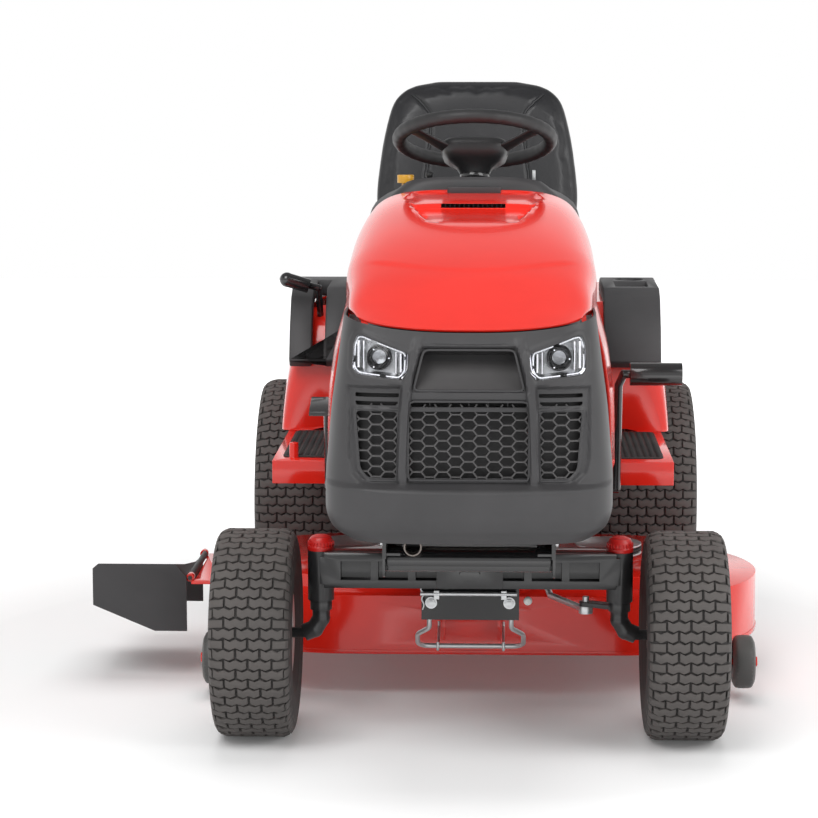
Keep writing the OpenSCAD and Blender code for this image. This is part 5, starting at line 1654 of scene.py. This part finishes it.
def tread_period(radius, width, rim, height, rows, across):
    """Two rows of chevron blocks with their shoulder lugs, at the top of a wheel."""
    pitch = 2 * math.pi / rows
    shape = Shape()
    flat = 0.43 * width
    block = 2 * flat / across
    out_x, out_r = np.array(tire_profile(radius, width, rim)[:5]).T

    def place(x, s, drop, row):
        """A point of the tread from its place across and along, a drop below the surface."""
        r = np.interp(np.abs(x), out_x, out_r) - drop
        turn = row * pitch + s / radius
        return np.stack([x + 0 * r, -r * np.sin(turn), r * np.cos(turn)], -1)

    for row in (0, 1):
        count = across if row == 0 else across - 1
        for k in range(count):
            x = (k - (count - 1) / 2) * block
            half, deep, vee = block / 2 - 1.3, radius * pitch / 2 - 1.5, 2.4
            wave = [(x + half * t, vee * (1 - 4 * abs(abs(t) - 0.5)))
                    for t in (-1, -0.5, 0, 0.5, 1)]
            outline = [(u, v - deep) for u, v in wave] + [(u, v + deep) for u, v in reversed(wave)]
            middle = np.mean(outline, 0)
            rings = []
            for drop, by in ((height + 1.5, 1.0), (0.3, 0.94)):
                level = middle + (np.array(outline) - middle) * by
                rings.append(place(level[:, 0], level[:, 1], drop, row))
            shape.add(*loft(rings))
        start = flat + 1.5 if row == 0 else flat - block / 2 + 1.5
        stations = np.array([start, 0.452 * width, 0.474 * width, 0.489 * width][:4 - row])
        half = radius * pitch / 2 - (1.8 + 0.6 * row)
        for side in (-1, 1):
            rings = []
            for x, deep in zip(stations, (height + 1, 5.5, 4.0, 2.5)):
                ring = [place(np.array(side * (x - (deep - up) * 0.35 * (x > 0.44 * width))),
                              np.array(s), up if x < 0.44 * width else up * 0.7, row)
                        for up, s in ((0.3, -half), (0.3, half), (deep, half + 0.5),
                                      (deep, -half - 0.5))]
                rings.append(ring)
            shape.add(*loft(rings))
    return shape


def rim_shape(centre, side, rim, width):
    """A pressed rim with its dished disc, as one closed turned form."""
    w = 0.40 * width
    outside = [(-w - 1, rim + 7), (-w + 3, rim + 6), (-w + 5, rim - 1), (-0.30 * width, rim - 3),
               (-0.24 * width, rim - 13), (0.10 * width, rim - 14), (0.24 * width, rim - 13),
               (0.30 * width, rim - 3), (w - 5, rim - 1), (w - 3, rim + 6), (w + 1, rim + 7)]
    inside = [(w + 3, rim + 5), (w, rim - 4), (0.31 * width, rim - 6.5), (0.26 * width, rim - 16),
              (0.14 * width, rim - 18), (0.09 * width, rim - 24), (0.12 * width, 0.52 * rim),
              (0.19 * width, 0.42 * rim), (0.19 * width, 23), (0.155 * width, 23),
              (0.155 * width, 0.40 * rim), (0.085 * width, 0.50 * rim), (0.055 * width, rim - 24),
              (0.05 * width, rim - 17.5), (-0.25 * width, rim - 16.5), (-0.31 * width, rim - 6.5),
              (-w, rim - 4), (-w - 3, rim + 5)]
    profile = [(side * x, r) for x, r in outside + inside]
    return lathe(profile, centre, "x", 96, True)


class MOWER_OT_wheels(bpy.types.Operator):
    """Builds the four wheels: tires with their blocks, pressed rims, hubs and nuts"""
    bl_idname = "mower.wheels"
    bl_label = "Wheels"

    def execute(self, context):
        sizes = context.scene.mower_sizes
        height = sizes.tread_height / MM
        for label, side in SIDES:
            for end, rows, across, rim, hub in (("front", sizes.front_tread_rows, 3, 76, 22),
                                                ("rear", sizes.rear_tread_rows, 5, 101.5, 30)):
                name = f"{label}_{end}"
                body = name + "_wheel"
                low, high = box_mm(name + "_tire")
                centre = (low + high) / 2
                radius, width = (high[2] - low[2]) / 2, high[0] - low[0]
                # the carcass takes the darker rubber: painted shade between the tread blocks
                make(name + "_carcass", Shape(tire_carcass(centre, radius, width, rim, height)),
                     "shaded tire rubber", body, replaces=[name + "_tire"], smooth=30)
                period = tread_period(radius, width, rim, height, rows, across)
                round_array(name + "_tread", period, rows // 2, centre, (1, 0, 0),
                            "tread rubber", body, bevel=0.6)
                disc = mesh_object(name + "_wheel_rim",
                                   Shape(rim_shape(centre, side, rim, width)), "rim paint")
                holes = Shape()
                for k in range(5):
                    t = 2 * math.pi * (k + 0.5) / 5
                    spot = centre + (0, 0.60 * rim * math.sin(t), 0.60 * rim * math.cos(t))
                    holes.add(*lathe([(-0.3 * width, 0.105 * rim), (0.3 * width, 0.105 * rim)],
                                     spot, "x", 24))
                cut(disc, holes)
                add_bevel(disc, 1.0, 2, 40)
                settle(disc, body, [name + "_rim"], 30)
                face = side * 0.19 * width
                hub_line = [(side * -0.42 * width, 24), (side * -0.42 * width, hub),
                            (face - side * 2, hub), (face + side * 6, hub - 2),
                            (face + side * 14, hub - 7), (face + side * 18, 5),
                            (face + side * 18.5, 0.3), (side * -0.42 * width, 0.3)]
                make(name + "_hub", Shape(lathe(hub_line, centre, "x", 64)), "cast black", body,
                     bevel=1.0)
                spots = [((centre[0] + face, centre[1] + 0.33 * rim * math.sin(t),
                           centre[2] + 0.33 * rim * math.cos(t)), (side, 0, 0))
                         for t in ring_angles(5)]
                bolts(name + "_lug_nuts", spots, body, 11, 6, 7.5)
        return {"FINISHED"}


# ---- seat ----


def sink(obj, line, width=11.0, depth=4.5):
    """Draws a pad in along a seam."""
    points = to_row(fine_line(line, 3.0))
    tree = KDTree(len(points))
    for index, point in enumerate(points):
        tree.insert(point, index)
    tree.balance()
    for vert in obj.data.vertices:
        far = tree.find(vert.co)[2] / MM
        if far < width:
            vert.co -= vert.normal * depth * MM * (1 - far / width) ** 1.5


def pressed_pad(name, rows, cap, body, replaces, seams, spread=4.0):
    """A padded piece: a closed form remeshed, blown out by cloth pressure and capped."""
    obj = mesh_object(name, Shape(loft(rows)), "seat vinyl")
    modify(obj, "REMESH", mode="VOXEL", voxel_size=5 * MM)
    plain(obj)
    before = points_of(obj)
    cloth = obj.modifiers.new("Cloth", "CLOTH").settings
    cloth.use_pressure = True
    cloth.uniform_pressure_force = spread
    cloth.effector_weights.gravity = 0
    cloth.tension_stiffness = cloth.compression_stiffness = 12
    for frame_number in range(1, 21):
        bpy.context.scene.frame_set(frame_number)
    plain(obj)
    bpy.context.scene.frame_set(1)
    after = points_of(obj)
    move_points(obj, before)
    out = np.array([v.normal for v in obj.data.vertices])
    swell = np.clip(np.sum((after - before) * out, 1), -1 * MM, cap * MM)
    move_points(obj, before + out * swell[:, None])
    modify(obj, "SMOOTH", iterations=4, factor=0.5)
    modify(obj, "SUBSURF", levels=1, render_levels=1)
    plain(obj)
    for line in seams:
        sink(obj, line)
    settle(obj, body, replaces, 80)
    return obj


def on_surface(obj, line, out=0.0):
    """A line of points moved to the nearest places on a piece, then a little outwards."""
    skin = BVHTree.FromPolygons([v.co for v in obj.data.vertices],
                                [f.vertices for f in obj.data.polygons])
    found = []
    for p in to_row(line):
        place, normal, _, _ = skin.find_nearest(Vector(p))
        found.append((np.array(place + normal * out * MM) - ORIGIN) / MM)
    return np.array(found)


def fine_line(points, step=4.0):
    points = np.asarray(points, float)
    total = np.linalg.norm(np.diff(points, axis=0), axis=1).sum()
    return even_arc(points, max(8, int(total / step)))


# height, share of the half width, front, back
BACK_SHAPE = [(831, 0.80, 1180, 1256), (858, 0.97, 1187, 1262), (915, 1.01, 1197, 1272),
              (1009, 0.97, 1212, 1286), (1090, 0.90, 1226, 1297), (1130, 0.84, 1236, 1302),
              (1158, 0.72, 1248, 1304), (1172, 0.56, 1260, 1304), (1178, 0.40, 1270, 1302)]
LUMBAR_SEAM = [(x, 1196, 866 + 0.0003 * x ** 2) for x in np.linspace(-120, 120, 50)]


def back_seam(side):
    return fillet([(side * 152, 1240, 1158), (side * 124, 1228, 1130), (side * 103, 1220, 1106),
                   (side * 107, 1210, 1033), (side * 116, 1200, 958), (side * 122, 1188, 870),
                   (side * 124, 1184, 842)], 26)


def cushion_seam(side):
    return fillet([(side * 112, 905, 818), (side * 118, 960, 820), (side * 122, 1080, 814),
                   (side * 124, 1180, 812)], 20)


class MOWER_OT_seat(bpy.types.Operator):
    """Builds the seat: blown vinyl pads, piped seams, stitches and the moulded shell"""
    bl_idname = "mower.seat"
    bl_label = "Seat"

    def execute(self, context):
        sizes = context.scene.mower_sizes

        def drawn_in(x, y, z):
            """The shell keeps behind the pads' outlines."""
            high = soft_step(840, 1180, z)
            return x * (0.975 - 0.03 * high), y, z - 9 * high * soft_step(1060, 1180, z)

        rounded_copy("seat_shell", "black plastic", 3.0, 3, reshape=drawn_in)
        shell_ribs = Shape()
        for x in (-90, -30, 30, 90):
            shell_ribs.add(*tube([(x, 1284, 850), (x, 1296, 950), (x, 1306, 1050), (x, 1306, 1100)],
                                 [3, 5, 5, 3], 12))
        make("seat_shell_ribs", shell_ribs, "black plastic", "seat", smooth=60)
        a = ring_angles(72)
        keys = np.array(BACK_SHAPE, float)
        rows = []
        for z in np.linspace(831, 1177, 40):
            share, front, back = [read_curve(keys, k, z) for k in (1, 2, 3)]
            half = 225 * share
            end = soft_step(0, 16, min(z - 826, 1182 - z))
            x = squared(np.cos(a), 0.55) * half * (0.9 + 0.1 * end)
            depth = squared(np.sin(a), 0.6) * (back - front) / 2 * (0.4 + 0.6 * end)
            y = (front + back) / 2 + depth
            hollow = 9 * np.cos(np.clip(x / half, -1, 1) * math.pi / 2) ** 2 * (np.sin(a) < 0)
            rows.append(np.stack([x, y + hollow * soft_step(1150, 1080, z), np.full_like(x, z)], 1))
        back = pressed_pad("backrest_pad", rows, 9, "seat", ["seat_backrest"],
                           [back_seam(-1), back_seam(1), LUMBAR_SEAM])
        rows = []
        for y in np.linspace(900, 1232, 36):
            end = soft_step(0, 30, min(y - 892, 1240 - y))
            top = smooth_curve([894, 908, 950, 1140, 1226, 1238], [806, 822, 828, 818, 822, 812], y)
            low = 750 + 6 * (1 - end)
            half = 222 * smooth_curve([894, 930, 1100, 1238], [0.90, 0.985, 1.0, 0.94], y)
            x = squared(np.cos(a), 0.42) * half * (0.96 + 0.04 * end)
            z = (top + low) / 2 + squared(np.sin(a), 0.5) * (top - low) / 2 * (
                0.72 + 0.28 * end)
            dish = 9 * np.cos(np.clip(x / half, -1, 1) * math.pi / 2) ** 2 * (np.sin(a) > 0)
            rows.append(np.stack([x, np.full_like(x, y), z - dish * end], 1))
        cushion = pressed_pad("cushion_pad", rows, 8, "seat", ["seat_cushion"],
                              [cushion_seam(-1), cushion_seam(1)])
        piping = sizes.piping / MM
        seams, stitches = Shape(), []
        for side in (-1, 1):
            line = on_surface(back, fine_line(back_seam(side)), piping * 0.35)
            seams.add(*tube(line, piping, 12))
            for shift in (-6.0, 6.0):
                beside = line + (shift, -3, 0)
                stitches.append(on_surface(back, beside, 0.25))
            line = on_surface(cushion, fine_line(cushion_seam(side)), piping * 0.35)
            seams.add(*tube(line, piping, 12))
            for shift in (-6.0, 6.0):
                stitches.append(on_surface(cushion, line + (shift, 0, 3), 0.25))
        line = on_surface(back, LUMBAR_SEAM, piping * 0.3)
        seams.add(*tube(line, piping, 12))
        stitches.append(on_surface(back, line + (0, -2, 6), 0.25))
        make("seat_piping", seams, "seat vinyl", "seat", smooth=60)
        bars_along("seat_stitches", stitches, sizes.stitch_pitch / MM, (0.9, 0.9, 4.0),
                   "seat thread", "seat")
        t = ring_angles(160)
        edge = np.stack([squared(np.cos(t), 0.42) * 226, 1066 + squared(np.sin(t), 0.42) * 172,
                         np.full_like(t, 772)], 1)
        welt = on_surface(cushion, edge, piping * 0.3)
        make("cushion_welt", Shape(tube(welt, piping, 12, True)), "seat vinyl", "seat", smooth=60)
        return {"FINISHED"}


# ---- stage ----


def seen_directly(web):
    """One where the camera, a mirror surface or clear glass sees the thing."""
    path = web.add("ShaderNodeLightPath")
    seen = web.math("MAXIMUM", path.outputs["Is Camera Ray"], path.outputs["Is Glossy Ray"])
    return web.math("MAXIMUM", seen, path.outputs["Is Transmission Ray"])


def add_lamp(name, place, aim, size, power, mirrored=True):
    lamp = bpy.data.lights.new(name, "AREA")
    lamp.shape, lamp.size, lamp.size_y, lamp.energy = "RECTANGLE", size[0], size[1], power
    obj = new_object(name, lamp)
    obj.location = place
    obj.visible_glossy = mirrored
    obj.rotation_euler = (Vector(aim) - Vector(place)).to_track_quat("-Z", "Y").to_euler()


class MOWER_OT_stage(bpy.types.Operator):
    """Builds the pale floor, soft light, white backdrop and camera"""
    bl_idname = "mower.stage"
    bl_label = "Stage"

    def execute(self, context):
        scene = context.scene
        scene.view_settings.view_transform = "Standard"
        world = bpy.data.worlds.new("Backdrop")
        scene.world = world
        world.use_nodes = True
        web = Web(world.node_tree)
        shine = world.node_tree.nodes["Background"]
        up = web.add("ShaderNodeSeparateXYZ", {
            0: web.add("ShaderNodeTexCoord").outputs["Generated"]}).outputs["Z"]
        level = web.math("MULTIPLY", web.ramp(seen_directly(web), 0, 1, 0.85, 1.0),
                         web.ramp(up, 0.22, 0.60, 1.0, 0.30))
        web.fill(shine, {"Color": (1, 1, 1, 1), "Strength": level})
        mesh = bpy.data.meshes.new("floor")
        bm = bmesh.new()
        bmesh.ops.create_grid(bm, x_segments=8, y_segments=8, size=9.0)
        bm.to_mesh(mesh)
        bm.free()
        floor = new_object("floor", mesh)
        paper = bpy.data.materials.new("floor paper")
        paper.use_nodes = True
        web = Web(paper.node_tree)
        skin = paper.node_tree.nodes["Principled BSDF"]
        place = web.place()
        tone = web.ramp(web.noise(place, 3.0), 0, 1, 0.91, 0.93)
        shade_of = web.add("ShaderNodeCombineColor", {0: tone, 1: tone, 2: tone}).outputs[0]
        away = web.add("ShaderNodeVectorMath", {0: place}, operation="LENGTH").outputs["Value"]
        glow = web.math("MULTIPLY", seen_directly(web), web.ramp(away, 1.0, 2.8, 0.06, 0.95))
        web.fill(skin, {"Base Color": shade_of, "Roughness": 0.9, "Specular IOR Level": 0.1,
                        "Emission Color": (1, 1, 1, 1), "Emission Strength": glow})
        mesh.materials.append(paper)
        add_lamp("key", (-1.6, -3.4, 4.2), (0.1, 0.0, 0.5), (2.8, 2.8), 125)
        add_lamp("fill", (3.0, -2.2, 2.6), (0.1, -0.2, 0.5), (2.4, 2.4), 62)
        add_lamp("top", (0.1, 0.8, 4.2), (0.1, 0.2, 0.3), (3.0, 3.0), 78, False)
        camera = bpy.data.cameras.new("camera")
        camera.lens, camera.sensor_width = 115.3, 36.0
        eye = new_object("camera", camera)
        eye.location = (0.139, -5.260, 1.248)
        eye.rotation_euler = (math.radians(90 - 7.81), 0.0, math.radians(1.97))
        scene.camera = eye
        return {"FINISHED"}


STEPS = (MOWER_OT_stage, MOWER_OT_chassis, MOWER_OT_engine, MOWER_OT_drive,
         MOWER_OT_front_axle, MOWER_OT_deck, MOWER_OT_fender, MOWER_OT_dash,
         MOWER_OT_steering_wheel, MOWER_OT_hood, MOWER_OT_fascia, MOWER_OT_headlights,
         MOWER_OT_seat, MOWER_OT_wheels)


class MOWER_PT_panel(bpy.types.Panel):
    """Lists the mower's building steps"""
    bl_idname = "MOWER_PT_panel"
    bl_label = "Riding Mower"
    bl_space_type = "VIEW_3D"
    bl_region_type = "UI"
    bl_category = "Mower"

    def draw(self, context):
        for step in STEPS:
            self.layout.operator(step.bl_idname)
        for group in (context.scene.mower_sizes, context.scene.mower_colours):
            for key in group.__annotations__:
                self.layout.prop(group, key)


CLASSES = (MowerSizes, MowerColours, *STEPS, MOWER_PT_panel)


def register():
    for cls in CLASSES:
        bpy.utils.register_class(cls)
    bpy.types.Scene.mower_sizes = PointerProperty(type=MowerSizes)
    bpy.types.Scene.mower_colours = PointerProperty(type=MowerColours)


def unregister():
    del bpy.types.Scene.mower_colours
    del bpy.types.Scene.mower_sizes
    for cls in reversed(CLASSES):
        bpy.utils.unregister_class(cls)


def main():
    register()
    for step in STEPS:
        group, name = step.bl_idname.split(".")
        getattr(getattr(bpy.ops, group), name)()


if __name__ == "__main__":
    main()
